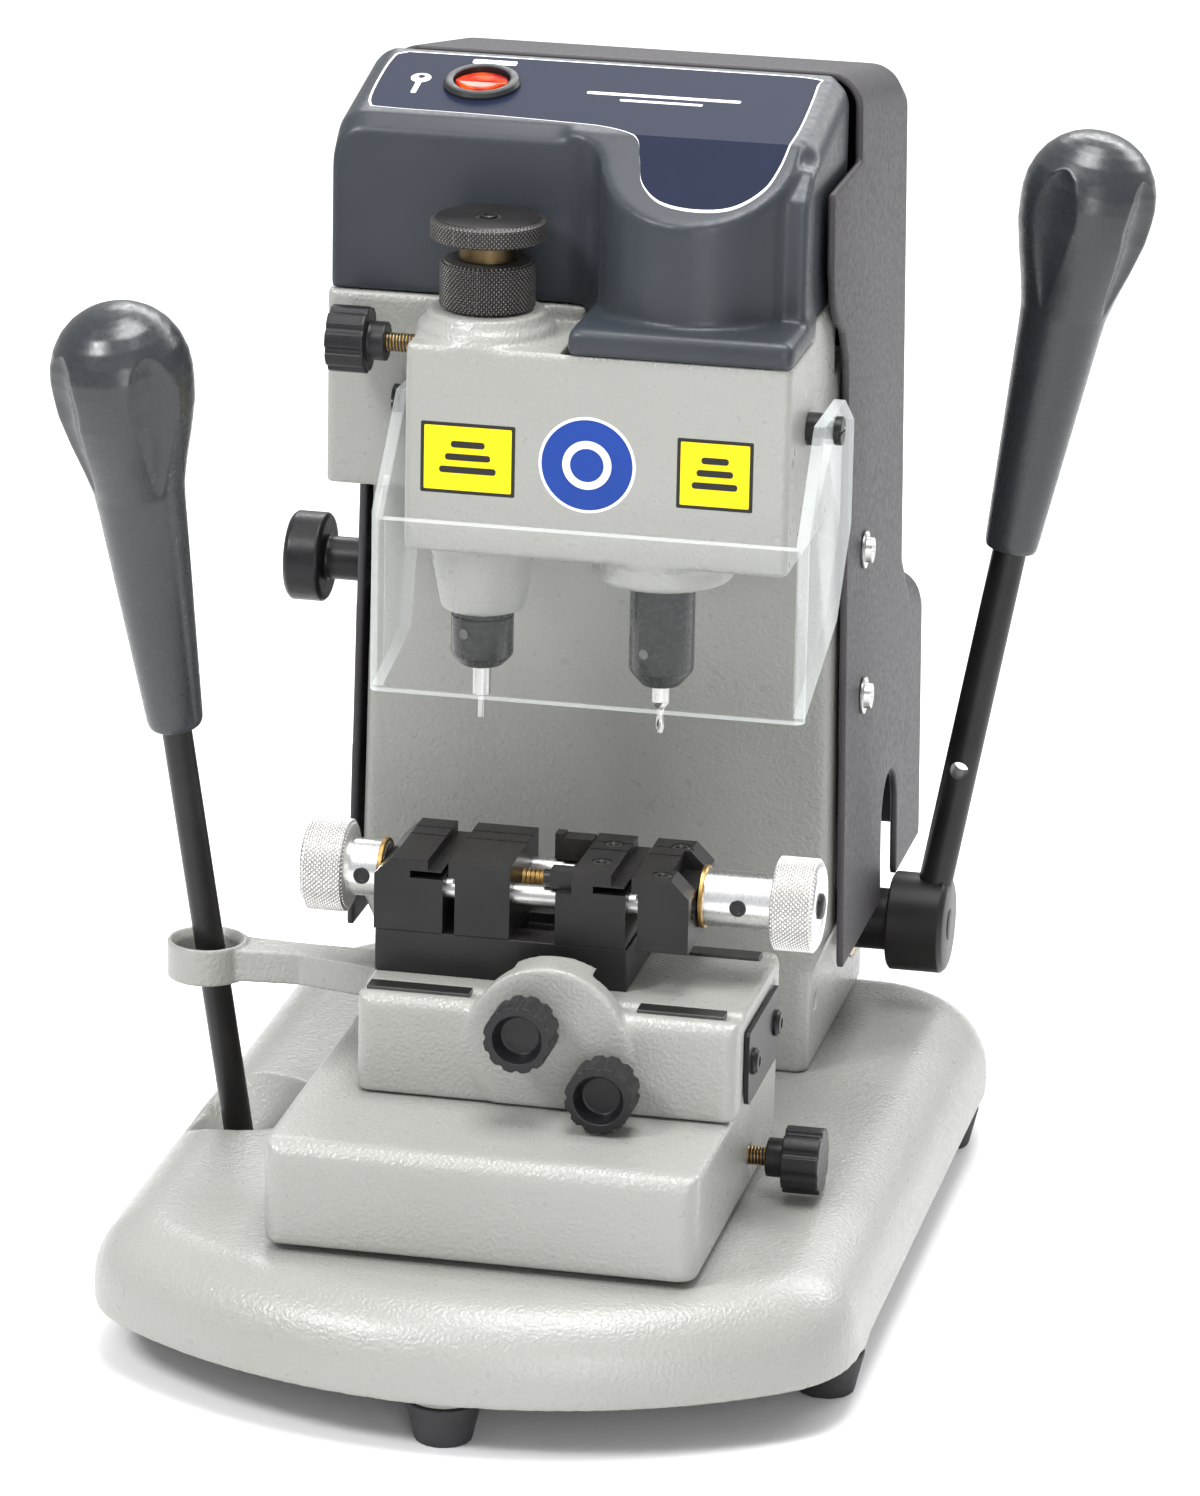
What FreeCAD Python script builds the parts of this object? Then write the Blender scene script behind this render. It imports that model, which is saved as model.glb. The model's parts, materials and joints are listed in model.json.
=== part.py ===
import FreeCAD, Part
import math
import os

os.makedirs("parts", exist_ok=True)
V = FreeCAD.Vector
X_AXIS, Y_AXIS, Z_AXIS = V(1, 0, 0), V(0, 1, 0), V(0, 0, 1)

# ---- driving dimensions, mm ----
# Design frame: X = 0 is the middle of the base, Y = 0 the front face of the column
# (the operator stands at -Y), Z = 0 the surface that the rubber feet stand on.
BASE_HALF_W = 127.0
BASE_FRONT = -248.0
BASE_BACK = 122.0
BASE_BOTTOM = 17.0
BASE_TOP = 48.0
BASE_WALL = 7.0
FOOT_SPOTS = [(3, -231), (-114, -160), (114, -160), (-113, 74), (113, 74)]

BOLT_SPOTS = [(-60, 20), (60, 20), (-38, 90), (38, 90)]

COLUMN_TOP = 298.0
COLUMN_DEPTH = 58.0
PEDESTAL_HALF_W = 76.0
PEDESTAL_BACK = 106.0
PEDESTAL_TOP = 92.0

COVER_BOTTOM = 88.0
COVER_WALL = 2.5
COVER_ROUND = 12.0
COVER_BACK = 121.0
COVER_SCREW_Y = 33.0
COVER_SCREW_ZS = (176.0, 228.0)
HEIGHT_LOCK_Y, HEIGHT_LOCK_Z = 24.0, 213.0
COVER_REAR = 165.0       # back of the low bulge

MIDDLE_X, MIDDLE_Y = 9.62, -40.25    # middle of the whole outline, the part's origin

TOOL_Y = -58.0           # both tool axes lie in this plane
TOOL_SPACING = 61.0      # tracer axis to cutter axis
TRACER_X = -27.5
CUTTER_X = TRACER_X + TOOL_SPACING
HEAD_FRONT = -82.0
HEAD_BOTTOM = 249.0
HEAD_TOP = 319.0
HEAD_LEFT = -49.6        # left side of the narrow front block
HEAD_RIGHT = 79.0
HEAD_WIDE_LEFT = -86.5   # left side of the wide rear block
HEAD_WIDE_FRONT = -40.0
HEAD_WIDE_TOP = 324.5
HEAD_BACK = -1.0
TOOL_TIP_Z = 185.9

SHAFT_Y, SHAFT_Z = 90.0, 76.0    # down-feed shaft
PINION_TEETH = 20
GEAR_MODULE = 2.4
PINION_R = PINION_TEETH * GEAR_MODULE / 2
RACK_BACK = SHAFT_Y - PINION_R - 6.5
LEVER_X = 101.8
RIGHT_GRIP_START = 142.0
LEFT_GRIP_START = 165.5
LEVER_LEAN = math.radians(10.1)   # the right lever leans outwards

Y_SLIDE_X = (-64.0, 78.5)
Y_SLIDE_Y = (-207.0, -66.0)
Y_SLIDE_Z = (50.5, 85.5)
X_SLIDE_X = (-46.0, 80.6)
X_SLIDE_Y = (-155.0, -78.0)
X_SLIDE_Z = (86.2, 119.5)
CLAMP_Y = (-131.0, -88.0)
CLAMP_MID_Y = -109.5
CLAMP_PLATE_Z = (119.5, 134.0)
CLAMP_TOP = 159.0
GROOVE_LEFT_X = -24.5
GROOVE_RIGHT_X = GROOVE_LEFT_X + TOOL_SPACING
CLAMP_ROD_Z = 147.5
CLAMP_ROD_R = 3.7
CLAMP_ROD_YS = (CLAMP_MID_Y - 14, CLAMP_MID_Y + 14)
JAW_GAP = 4.0
KNOB_1_Z = 116.0
KNOB_2_Z = 98.0

BALL_R = 8.0
STICK_PIVOT = V(-105, -75, 30)   # ball of the left lever, in the base
STICK_EYE = V(-111.5, -90.8, 104.5)    # where it passes through the eye
EYE_CENTRE = V(-113, -91, 104.5)
SHIELD_PIVOT_Y, SHIELD_PIVOT_Z = -49.0, 291.5
MOTOR_X, MOTOR_Y = -44.0, 70.0
CARRIAGE_Z = (244.0, 287.0)
BELT_Z = (346.0, 356.0)
BLEND_CENTRE, BLEND_R = (-6.0, -52.0), 14.0
PULLEY_SMALL, PULLEY_LARGE = 9.0, 14.0
RAIL_XS = (-30.0, 44.0)          # rails of the lower slide
RAIL_Z, RAIL_R = 62.0, 5.0

# mains switch on the sloping lid
SWITCH_X, SWITCH_Y, SWITCH_Z = -42.0, -7.0, 389.7
PANEL_TILT = math.atan2(395.5 - 383, 19 + 37)
PANEL_UP = V(0, -math.sin(PANEL_TILT), math.cos(PANEL_TILT))

# outline of both lever grips: (height, radius)
GRIP_LENGTH = 152.0
GRIP_PROFILE = [(0, 9.3), (80, 14.3), (88, 15.1), (97, 17.2), (107, 20.0), (117, 22.4), (124, 23.0), (129, 23.2),
                (136, 22.2), (142, 19.6), (147, 15.4), (150, 10.5)]


# ---- helpers ----
def box(x, y, z):
    """Box from three (low, high) pairs."""
    return Part.makeBox(x[1] - x[0], y[1] - y[0], z[1] - z[0], V(x[0], y[0], z[0]))


def rod(start, axis, radius, length):
    return Part.makeCylinder(radius, length, V(*start), axis)


def tube(start, axis, outer, inner, length):
    return rod(start, axis, outer, length).cut(rod(start, axis, inner, length))


def cone(start, axis, r1, r2, length):
    return Part.makeCone(r1, r2, length, V(*start), axis)


def fuse(*shapes):
    whole = shapes[0]
    for extra in shapes[1:]:
        whole = whole.fuse(extra)
    return whole.removeSplitter()


def prism(points, direction):
    """Closed polygon of 3-D points pushed along a vector."""
    corners = [V(*p) for p in points]
    wire = Part.makePolygon(corners + [corners[0]])
    return Part.Face(wire).extrude(V(*direction))


def round_edges(shape, radius, wanted):
    """Fillet the edges for which wanted(edge) is true."""
    edges = [e for e in shape.Edges if wanted(e)]
    return shape.makeFillet(radius, edges)


def along(edge, axis):
    """True for a straight edge parallel to the axis."""
    if not isinstance(edge.Curve, (Part.Line, Part.LineSegment)):
        return False
    d = edge.Vertexes[-1].Point.sub(edge.Vertexes[0].Point)
    return d.Length > 1e-6 and abs(d.normalize().dot(axis)) > 0.9999


def middle(edge):
    return edge.BoundBox.Center


def revolve(profile, origin, axis=Z_AXIS):
    """Turned solid: (radius, height) points about an axis through origin."""
    points = [V(r, 0, h) for r, h in profile]
    face = Part.Face(Part.makePolygon(points + [points[0]]))
    solid = face.revolve(V(0, 0, 0), Z_AXIS, 360)
    solid.Placement = FreeCAD.Placement(V(*origin), FreeCAD.Rotation(Z_AXIS, axis))
    return solid


def lobed(start, axis, radius, length, lobes, notch):
    """Short round knob with scallops cut along its rim."""
    body = rod((0, 0, 0), Z_AXIS, radius, length)
    for i in range(lobes):
        a = 2 * math.pi * i / lobes
        r = radius + notch * 0.45
        body = body.cut(rod((r * math.cos(a), r * math.sin(a), -1), Z_AXIS, notch, length + 2))
    body.Placement = FreeCAD.Placement(V(*start), FreeCAD.Rotation(Z_AXIS, axis))
    return body


# ---- fixed frame: base, column, back cover ----
def base_outline(inset, z_low, z_high):
    """The base's plan: parallel sides, shallow front arc, round corners."""
    half = BASE_HALF_W - inset
    arc_r = 177.0
    arc_y = BASE_FRONT + arc_r
    block = box((-half, half), (BASE_FRONT + inset, BASE_BACK - inset), (z_low, z_high))
    front = rod((0, arc_y, z_low), Z_AXIS, arc_r - inset, z_high - z_low)
    rear = box((-half, half), (arc_y, BASE_BACK - inset), (z_low, z_high))
    plan = block.common(front.fuse(rear)).removeSplitter()
    corner = 46.0 - inset
    return round_edges(plan, corner, lambda e: along(e, Z_AXIS) and abs(middle(e).x) > half - 1
                       and (middle(e).y > 60 or middle(e).y < arc_y - 60))


def base_casting():
    top_round = 23.0
    body = base_outline(0, BASE_BOTTOM, BASE_TOP)
    body = round_edges(body, top_round, lambda e: middle(e).z > BASE_TOP - 0.01)
    whole = body
    body = body.cut(base_outline(BASE_WALL, BASE_BOTTOM - 1, BASE_TOP - BASE_WALL))
    for x, y in FOOT_SPOTS:
        boss = rod((x, y, BASE_BOTTOM - 3), Z_AXIS, 12.5, BASE_TOP - BASE_BOTTOM - 3)
        boss = boss.common(whole).fuse(rod((x, y, BASE_BOTTOM - 3), Z_AXIS, 12.5, 3.5))
        body = body.fuse(boss).cut(rod((x, y, 10), Z_AXIS, 2.2, 22))
    # bowl that the left lever stands in, open to the left edge
    p = STICK_PIVOT
    boss = rod((p.x, p.y, BASE_BOTTOM + 2), Z_AXIS, 33, BASE_TOP - BASE_BOTTOM - 4)
    bowl = cone((p.x, p.y, p.z + 1), Z_AXIS, 10, 29, BASE_TOP - p.z)
    body = body.fuse(boss.common(whole)).cut(bowl).cut(Part.makeSphere(BALL_R + 0.15, p))
    body = body.cut(box((-12, 12), (52, 78), (30, 60)))
    for x, y in BOLT_SPOTS:
        body = body.cut(rod((x, y, 30), Z_AXIS, 4.2, 30))
    return body.removeSplitter()


def rubber_feet():
    feet = []
    for x, y in FOOT_SPOTS:
        foot = revolve([(0, 4), (4, 4), (4, 0), (9.2, 0), (12.5, 14), (0, 14)], (x, y, 0))
        feet.append(foot)
    return Part.makeCompound(feet)


def column_casting():
    top_half = 79.5
    low_half = 83.0
    step = PEDESTAL_TOP + 8
    front_view = [(-PEDESTAL_HALF_W, 0, BASE_TOP), (PEDESTAL_HALF_W, 0, BASE_TOP),
                  (PEDESTAL_HALF_W, 0, PEDESTAL_TOP - 8), (low_half, 0, step),
                  (top_half, 0, COLUMN_TOP), (-top_half, 0, COLUMN_TOP),
                  (-low_half, 0, step), (-PEDESTAL_HALF_W, 0, PEDESTAL_TOP - 8)]
    body = prism(front_view, (0, COLUMN_DEPTH, 0))
    body = body.fuse(box((-PEDESTAL_HALF_W, PEDESTAL_HALF_W), (0, PEDESTAL_BACK), (BASE_TOP, COVER_BOTTOM - 1)))
    body = body.removeSplitter()
    body = round_edges(body, 4.0, lambda e: abs(middle(e).y) < 0.01 and abs(middle(e).x) > 70)
    # hollow column, open at the back
    inner = [(-73, 8, step), (73, 8, step), (73, 8, COLUMN_TOP - 8), (-73, 8, COLUMN_TOP - 8)]
    body = body.cut(prism(inner, (0, COLUMN_DEPTH, 0)))
    # hollow pedestal, open below and behind the column
    body = body.cut(box((-68, 68), (8, PEDESTAL_BACK - 8), (BASE_TOP - 1, PEDESTAL_TOP - 9)))
    body = body.cut(box((-68, 68), (COLUMN_DEPTH - 6, PEDESTAL_BACK - 8), (BASE_TOP, PEDESTAL_TOP + 30)))
    # bosses and bores for the down-feed shaft
    for x in (-76, 60):
        body = body.fuse(rod((x, SHAFT_Y, SHAFT_Z), X_AXIS, 16, 16)
                         .common(box((-80, 80), (0, 200), (BASE_TOP, COVER_BOTTOM - 1))))
    body = body.cut(rod((-90, SHAFT_Y, SHAFT_Z), X_AXIS, 14, 180))
    # bosses for the four bolts from below
    for x, y in BOLT_SPOTS:
        boss = rod((x, y, BASE_TOP), Z_AXIS, 11, 14)
        body = body.fuse(boss).cut(rod((x, y, BASE_TOP), Z_AXIS, 3.4, 13))
    body = body.cut(box((-9, 9), (PEDESTAL_BACK - 10, PEDESTAL_BACK + 1), (BASE_TOP, COVER_BOTTOM)))
    # window for the carriage neck, and the rail seats
    body = body.cut(box((-21, 21), (-1, 9), (235, COLUMN_TOP - 8)))
    body = body.cut(box((-26, -8.5), (11, 60), (COLUMN_TOP - 9, COLUMN_TOP + 1)))
    body = body.cut(box((-73, 73), (38, 60), (COLUMN_TOP - 9, COLUMN_TOP + 1)))
    for x in (-34, 34):
        body = body.cut(rod((x, 24, PEDESTAL_TOP), Z_AXIS, 6.0, COLUMN_TOP))
    # plugged pin hole in the right side, and the bore for the height lock
    body = body.cut(rod((70, 14, 70), X_AXIS, 2, 8))
    body = body.cut(rod((-90, HEIGHT_LOCK_Y, HEIGHT_LOCK_Z), X_AXIS, 4.1, 20))
    return body.removeSplitter()


def cover_side(inset):
    """Side view of the back cover, as a prism across the whole width."""
    back, rear = COVER_BACK - inset, COVER_REAR - inset
    side = [(inset, COVER_BOTTOM - 1), (inset, 290), (inset - 2, 303), (inset - 9, 314), (inset - 20, 321),
            (inset - 27, 329), (inset - 30, 340), (inset - 30, 376), (10, 394 - inset), (20, 396 - inset),
            (104, 381.5 - inset), (back, 372), (back, 206), (back + 12, 192), (rear - 8, 186), (rear, 178),
            (rear, COVER_BOTTOM - 1)]
    return prism([(-100, y, z) for y, z in side], (200, 0, 0))


def cover_front(inset):
    """Front view of the back cover, drawn in towards the top, as a prism to the rear."""
    low, high = 87.7 - inset, 81.6 - inset
    view = [(-low, COVER_BOTTOM - 1), (low, COVER_BOTTOM - 1), (high, 396 - inset), (-high, 396 - inset)]
    return prism([(x, -60, z) for x, z in view], (0, 260, 0))


def cover_form(inset):
    """Closed outer form of the back cover with its rounded rear and top edges."""
    body = cover_side(inset).common(cover_front(inset))
    return round_edges(body, COVER_ROUND - inset, lambda e: abs(middle(e).x) > 70 and e.Length > 9 and
                       ((middle(e).y > 110 and middle(e).z < 380) or (middle(e).z > 374 and middle(e).y > 25)))


def back_cover():
    outer = cover_form(0)
    inner = cover_form(COVER_WALL)
    inner = inner.fuse(box((-84, 84), (-10, 155), (80, 96)))
    # the whole front is open
    front = cover_front(COVER_WALL).common(cover_side(0).fuse(box((-90, 90), (-60, 20), (80, 366))))
    front = front.common(box((-90, 90), (-60, 22), (80, 366)))
    shell = outer.cut(inner).cut(front)
    shell = shell.cut(box((-100, 100), (-60, 21), (366, 400)))
    # bottom trim, left front edge set back for the wide head
    shell = shell.cut(box((-100, 100), (-60, 200), (60, COVER_BOTTOM)))
    left = prism([(-100, -60, 270), (-100, 0, 270), (-100, 22, 286), (-100, 22, 400), (-100, -60, 400)],
                 (30, 0, 0))
    shell = shell.cut(left)
    # slot for the lever shaft on the right, hole for the height lock on the left
    slot_w = 15.0
    slot_z = 116.0
    shell = shell.cut(box((60, 100), (SHAFT_Y - slot_w, SHAFT_Y + slot_w), (60, slot_z)))
    shell = shell.cut(rod((60, SHAFT_Y, slot_z), X_AXIS, slot_w, 40))
    shell = shell.cut(rod((-100, HEIGHT_LOCK_Y, HEIGHT_LOCK_Z), X_AXIS, 9, 40))
    # screw holes and the power inlet opening
    for z in COVER_SCREW_ZS:
        shell = shell.cut(rod((-100, COVER_SCREW_Y, z), X_AXIS, 2.2, 200))
    shell = shell.cut(box((-44, -16), (150, 170), (108, 128)))
    return shell.removeSplitter()


def frame_screws():
    """Four bolts that hold the column, and the cover's four screws with their washers."""
    screws = []
    for x, y in BOLT_SPOTS:
        z = BASE_TOP - BASE_WALL
        screws.append(fuse(rod((x, y, z - 6), Z_AXIS, 6.5, 6), rod((x, y, z - 1), Z_AXIS, 3.3, 20)))
    for z in COVER_SCREW_ZS:
        wall = 87.7 - (z - COVER_BOTTOM) * 6.1 / 309
        for side in (-1, 1):
            axis = V(side, 0, 0)
            washer = tube((side * (wall + 0.1), COVER_SCREW_Y, z), axis, 6.5, 2.0, 1.0)
            head = rod((side * (wall + 1.1), COVER_SCREW_Y, z), axis, 4.4, 2.2)
            shank = rod((side * (wall - 4), COVER_SCREW_Y, z), axis, 2.0, 6)
            slot = rod((side * (wall + 2.4), COVER_SCREW_Y, z), axis, 1.6, 2)
            screws.append(fuse(washer, head, shank).cut(slot))
    return Part.makeCompound(screws)


def guide_rails():
    return Part.makeCompound([rod((x, 24, PEDESTAL_TOP + 1), Z_AXIS, 5.95, COLUMN_TOP - PEDESTAL_TOP - 1)
                              for x in (-34, 34)])


def shaft_bushes():
    """Two bronze bushes that carry the down-feed shaft."""
    return Part.makeCompound([tube((x, SHAFT_Y, SHAFT_Z), X_AXIS, 14, 11.05, 16) for x in (-76, 60)])


def power_inlet():
    body = box((-43.5, -16.5), (147, COVER_REAR + 1), (108.5, 127.5))
    flange = box((-50, -10), (COVER_REAR + 0.05, COVER_REAR + 2.5), (104, 132))
    socket = box((-40, -20), (150, 170), (111, 125))
    pins = [box((x - 1, x + 1), (148, 162), (116, 120)) for x in (-35, -30, -25)]
    inlet = fuse(body, flange).cut(socket)
    for pin in pins:
        inlet = inlet.fuse(pin)
    return inlet.removeSplitter()


def y_rails():
    """Two rods under the lower slide, each held by two posts on the base."""
    rails = []
    for x in RAIL_XS:
        posts = [box((x - 7, x + 7), (y - 4, y + 4), (BASE_TOP, RAIL_Z + 9)) for y in (-151, -36)]
        rails.append(fuse(rod((x, -156, RAIL_Z), Y_AXIS, RAIL_R, 125), *posts))
    return Part.makeCompound(rails)


# ---- head: everything that the down-feed lever moves ----
def head_casting():
    block = box((HEAD_LEFT, HEAD_RIGHT), (HEAD_FRONT, HEAD_WIDE_FRONT), (HEAD_BOTTOM, HEAD_TOP))
    wide = box((HEAD_WIDE_LEFT, HEAD_RIGHT), (HEAD_WIDE_FRONT, HEAD_BACK), (HEAD_BOTTOM + 9, HEAD_WIDE_TOP))
    low = box((HEAD_LEFT, HEAD_RIGHT), (HEAD_WIDE_FRONT, HEAD_BACK), (HEAD_BOTTOM, HEAD_BOTTOM + 10))
    body = fuse(block, wide, low)
    body = round_edges(body, 3.0, lambda e: along(e, Z_AXIS) and
                       (middle(e).y < HEAD_FRONT + 0.1 or middle(e).x < HEAD_WIDE_LEFT + 0.1))
    tracer = revolve([(0, 0), (13.8, 0), (18.8, 25), (18.8, 40), (0, 40)], (TRACER_X, TOOL_Y, 224.5))
    boss = rod((CUTTER_X, TOOL_Y, 240), Z_AXIS, 23.5, 30)
    crown = revolve([(0, 0), (23.5, 0), (22.5, 3.5), (20.5, 4.5), (19.5, 8), (0, 8)], (TRACER_X, TOOL_Y, HEAD_TOP))
    body = fuse(body, tracer, boss, crown)
    body = round_edges(body, 2.0, lambda e: abs(middle(e).z - 240) < 0.1 and e.BoundBox.XLength > 40)
    # belt chamber, open at the top and to the rear
    chamber = box((2, 73), (-80, HEAD_BACK + 5), (300, 340))
    channel = box((-60, 73), (-34, HEAD_BACK + 5), (300, 340))
    body = body.cut(chamber).cut(channel)
    # the crown stands clear of the chamber; tool bores
    body = body.cut(rod((TRACER_X, TOOL_Y, 200), Z_AXIS, 9.05, 160))
    body = body.cut(rod((TRACER_X, TOOL_Y, 220), Z_AXIS, 10.8, 9))
    body = body.cut(rod((CUTTER_X, TOOL_Y, 200), Z_AXIS, 13.0, 160))
    body = body.cut(rod((HEAD_LEFT - 1, TOOL_Y, 313), X_AXIS, 3.1, 14))
    body = body.cut(rod((HEAD_RIGHT - 8, -74, 286), X_AXIS, 1.6, 12))
    for x, depth in ((HEAD_LEFT, 12), (HEAD_RIGHT - 12, 12)):
        body = body.cut(rod((x - 0.5, SHIELD_PIVOT_Y, SHIELD_PIVOT_Z), X_AXIS, 2.05, depth + 1))
    # lamp pocket between the tools
    body = body.cut(box((-6, 10), (-54, -30), (HEAD_BOTTOM - 12, HEAD_BOTTOM + 4)))
    return body.removeSplitter()


def head_cover_solid(inset):
    """Outer form of the plastic head cover, shrunk by inset."""
    i = inset
    left, right = -85.7 + i, 78 - i
    front, back = HEAD_WIDE_FRONT + 2 + i, 19 - i
    main = prism([(left, front, HEAD_WIDE_TOP - i), (left, back, HEAD_WIDE_TOP - i),
                  (left, back, 395.5 - i), (left, front + 5, 384 - i), (left, front, 379 - i)],
                 (right - left, 0, 0))
    main = round_edges(main, 10.0 - i, lambda e: middle(e).z > 377 and (middle(e).x < left + 0.1
                       or middle(e).x > right - 0.1) and middle(e).y > front + 1)
    tower_x, tower_y, tower_r = 40.0, -42.0, 32.5 - i
    tower = rod((tower_x, tower_y, HEAD_TOP - i), Z_AXIS, tower_r, 82)
    tower = tower.fuse(box((tower_x - tower_r, tower_x + tower_r), (tower_y, back), (HEAD_TOP - i, HEAD_TOP + 82)))
    lid = prism([(-100, -90, 300), (-100, 40, 300), (-100, 40, 400.2 - i), (-100, -37, 383 - i),
                 (-100, -90, 354 - i)], (200, 0, 0))
    # a hollow round blends the housing's front into the tower's left side
    x, y = BLEND_CENTRE
    blend = box((x, 12), (y, -30), (HEAD_TOP - i, HEAD_TOP + 82))
    blend = blend.cut(rod((x, y, HEAD_TOP - 5), Z_AXIS, BLEND_R + i, 90))
    tower = tower.fuse(blend).common(lid)
    return main, tower


def head_cover():
    main, tower = head_cover_solid(0)
    flange = box((4.5, HEAD_RIGHT + 0.5), (HEAD_FRONT - 1, -36), (HEAD_TOP, HEAD_TOP + 9))
    flange = round_edges(flange, 3, lambda e: middle(e).z > HEAD_TOP + 8.9 or
                         (along(e, Z_AXIS) and middle(e).y < HEAD_FRONT))
    # the foot behind the flange stands on the wide block
    flange = flange.cut(box((-90, 90), (HEAD_WIDE_FRONT, 40), (300, HEAD_WIDE_TOP)))
    rib = prism([(66, -55, HEAD_TOP + 4), (66, -55, 368), (66, -44, 376), (66, -30, 378), (66, -30, HEAD_TOP + 4)],
                (12, 0, 0)).cut(box((-90, 90), (HEAD_WIDE_FRONT, 40), (300, HEAD_WIDE_TOP)))
    body = fuse(main, tower.cut(box((-90, 90), (HEAD_WIDE_FRONT, 40), (300, HEAD_WIDE_TOP))), flange, rib)
    main_in, tower_in = head_cover_solid(COVER_WALL)
    body = body.cut(main_in).cut(tower_in)
    body = body.cut(box((-60, 73), (10, 30), (HEAD_WIDE_TOP - 1, 372)))
    return body.cut(switch_hole()).removeSplitter()


def switch_hole():
    p = V(SWITCH_X, SWITCH_Y, SWITCH_Z).sub(PANEL_UP * 12)
    return Part.makeCylinder(10.5, 24, p, PANEL_UP)


def switch_bezel():
    p = V(SWITCH_X, SWITCH_Y, SWITCH_Z)
    ring = Part.makeCylinder(12.5, 2.0, p.add(PANEL_UP * 0.4), PANEL_UP)
    barrel = Part.makeCylinder(10.4, 20, p.sub(PANEL_UP * 18), PANEL_UP)
    body = fuse(ring, barrel)
    return body.cut(Part.makeCylinder(9.3, 16, p.sub(PANEL_UP * 10), PANEL_UP))


def switch_rocker():
    """Round rocker; its axis runs along X just under the bezel."""
    p = V(SWITCH_X, SWITCH_Y, SWITCH_Z)
    disc = Part.makeCylinder(8.7, 7, p.sub(PANEL_UP * 4), PANEL_UP)
    scoop = Part.makeCylinder(40, 40, V(SWITCH_X - 20, SWITCH_Y, SWITCH_Z + 41.8), X_AXIS)
    ball = Part.makeSphere(9.1, p.sub(PANEL_UP * 0.5))
    return disc.common(ball).cut(scoop)


def carriage():
    """Block that slides on the rails and carries head, motor and rack."""
    block = box((-46, 46), (12, 38), (CARRIAGE_Z[0], CARRIAGE_Z[1]))
    neck = box((-19, 19), (HEAD_BACK + 0.05, 14), (262, CARRIAGE_Z[1]))
    arm = box((-9, 9), (36, RACK_BACK - 0.1), (254, CARRIAGE_Z[1]))
    plate = box((-71, -10), (41, 102), (318, 323))
    foot = box((-25, -10), (14, 41), (318, 323))
    web = box((-25, -10), (14, 18), (CARRIAGE_Z[1] - 1, 319))
    body = fuse(block, neck, arm, plate, foot, web)
    for x in (-34, 34):
        body = body.cut(rod((x, 24, 230), Z_AXIS, 8.0, 60))
    return body.cut(rod((MOTOR_X, MOTOR_Y, 310), Z_AXIS, 8, 20)).removeSplitter()


def carriage_bushes():
    return Part.makeCompound([tube((x, 24, z), Z_AXIS, 8.0, 6.0, 16) for x in (-34, 34)
                              for z in (CARRIAGE_Z[0], CARRIAGE_Z[1] - 16)])


def gear_rack():
    """Rack behind the column; its teeth face the pinion."""
    pitch_y = RACK_BACK + 6.5
    low, high = 76.0, CARRIAGE_Z[1]
    step = math.pi * GEAR_MODULE
    add, ded = GEAR_MODULE, GEAR_MODULE * 1.25
    slope = math.tan(math.radians(20))
    points = [(RACK_BACK, high), (RACK_BACK, low), (pitch_y - ded, low)]
    # a tooth space is centred on the shaft height, where the pinion has a tooth
    first = math.ceil((low + 3 - SHAFT_Z) / step - 0.5)
    z = SHAFT_Z + (first + 0.5) * step
    half = step / 4 - 0.08
    while z < 124:
        points += [(pitch_y - ded, z - half - ded * slope), (pitch_y + add, z - half + add * slope),
                   (pitch_y + add, z + half - add * slope), (pitch_y - ded, z + half + ded * slope)]
        z += step
    points += [(pitch_y - ded, high)]
    return prism([(-6, y, z) for y, z in points], (12, 0, 0))


def motor():
    can = rod((MOTOR_X, MOTOR_Y, 214), Z_AXIS, 30, 104)
    cap = revolve([(0, 0), (24, 0), (30, 4), (0, 4)], (MOTOR_X, MOTOR_Y, 210))
    return fuse(can, cap).cut(rod((MOTOR_X, MOTOR_Y, 280), Z_AXIS, 4.3, 60))


def belt_loop(grow):
    """Region swept by a belt round the two pulleys, grown by an offset."""
    small, large = PULLEY_SMALL + grow, PULLEY_LARGE + grow
    d = math.hypot(CUTTER_X - MOTOR_X, TOOL_Y - MOTOR_Y)
    a = math.atan2(TOOL_Y - MOTOR_Y, CUTTER_X - MOTOR_X)
    swing = math.acos((large - small) / d)
    low, height = BELT_Z[0], BELT_Z[1] - BELT_Z[0]
    points = []
    for sign in (1, -1):
        n = a + math.pi - sign * swing
        ends = [(MOTOR_X + large * math.cos(n), MOTOR_Y + large * math.sin(n), low),
                (CUTTER_X + small * math.cos(n), TOOL_Y + small * math.sin(n), low)]
        points += ends if sign == 1 else ends[::-1]
    straight = prism(points, (0, 0, height))
    return fuse(straight, rod((MOTOR_X, MOTOR_Y, low), Z_AXIS, large, height),
                rod((CUTTER_X, TOOL_Y, low), Z_AXIS, small, height))


def drive_belt():
    return belt_loop(2.0).cut(belt_loop(0.35))


def pulley(x, y, radius, bore):
    low, high = BELT_Z
    profile = [(bore, low - 3), (radius + 2.6, low - 3), (radius + 2.6, low - 0.8), (radius, low - 0.8),
               (radius, high + 0.8), (radius + 2.6, high + 0.8), (radius + 2.6, high + 2.5), (bore, high + 2.5)]
    return revolve(profile, (x, y, 0))


def spindle_bearings():
    return Part.makeCompound([tube((CUTTER_X, TOOL_Y, z), Z_AXIS, 13.0, 7.05, 10) for z in (240, 288)])


def spindle():
    """Cutter spindle with its long black collet nut seat."""
    return revolve([(3.05, 204.5), (7, 204.5), (7, 358), (0, 358), (0, 226), (3.05, 226)],
                   (CUTTER_X, TOOL_Y, 0))


def cutter_collet():
    return revolve([(3.1, 203), (7, 203), (10.85, 208), (10.85, 239.6), (7.05, 239.6), (7.05, 204.2),
                    (3.1, 204.2)], (CUTTER_X, TOOL_Y, 0))


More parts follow.
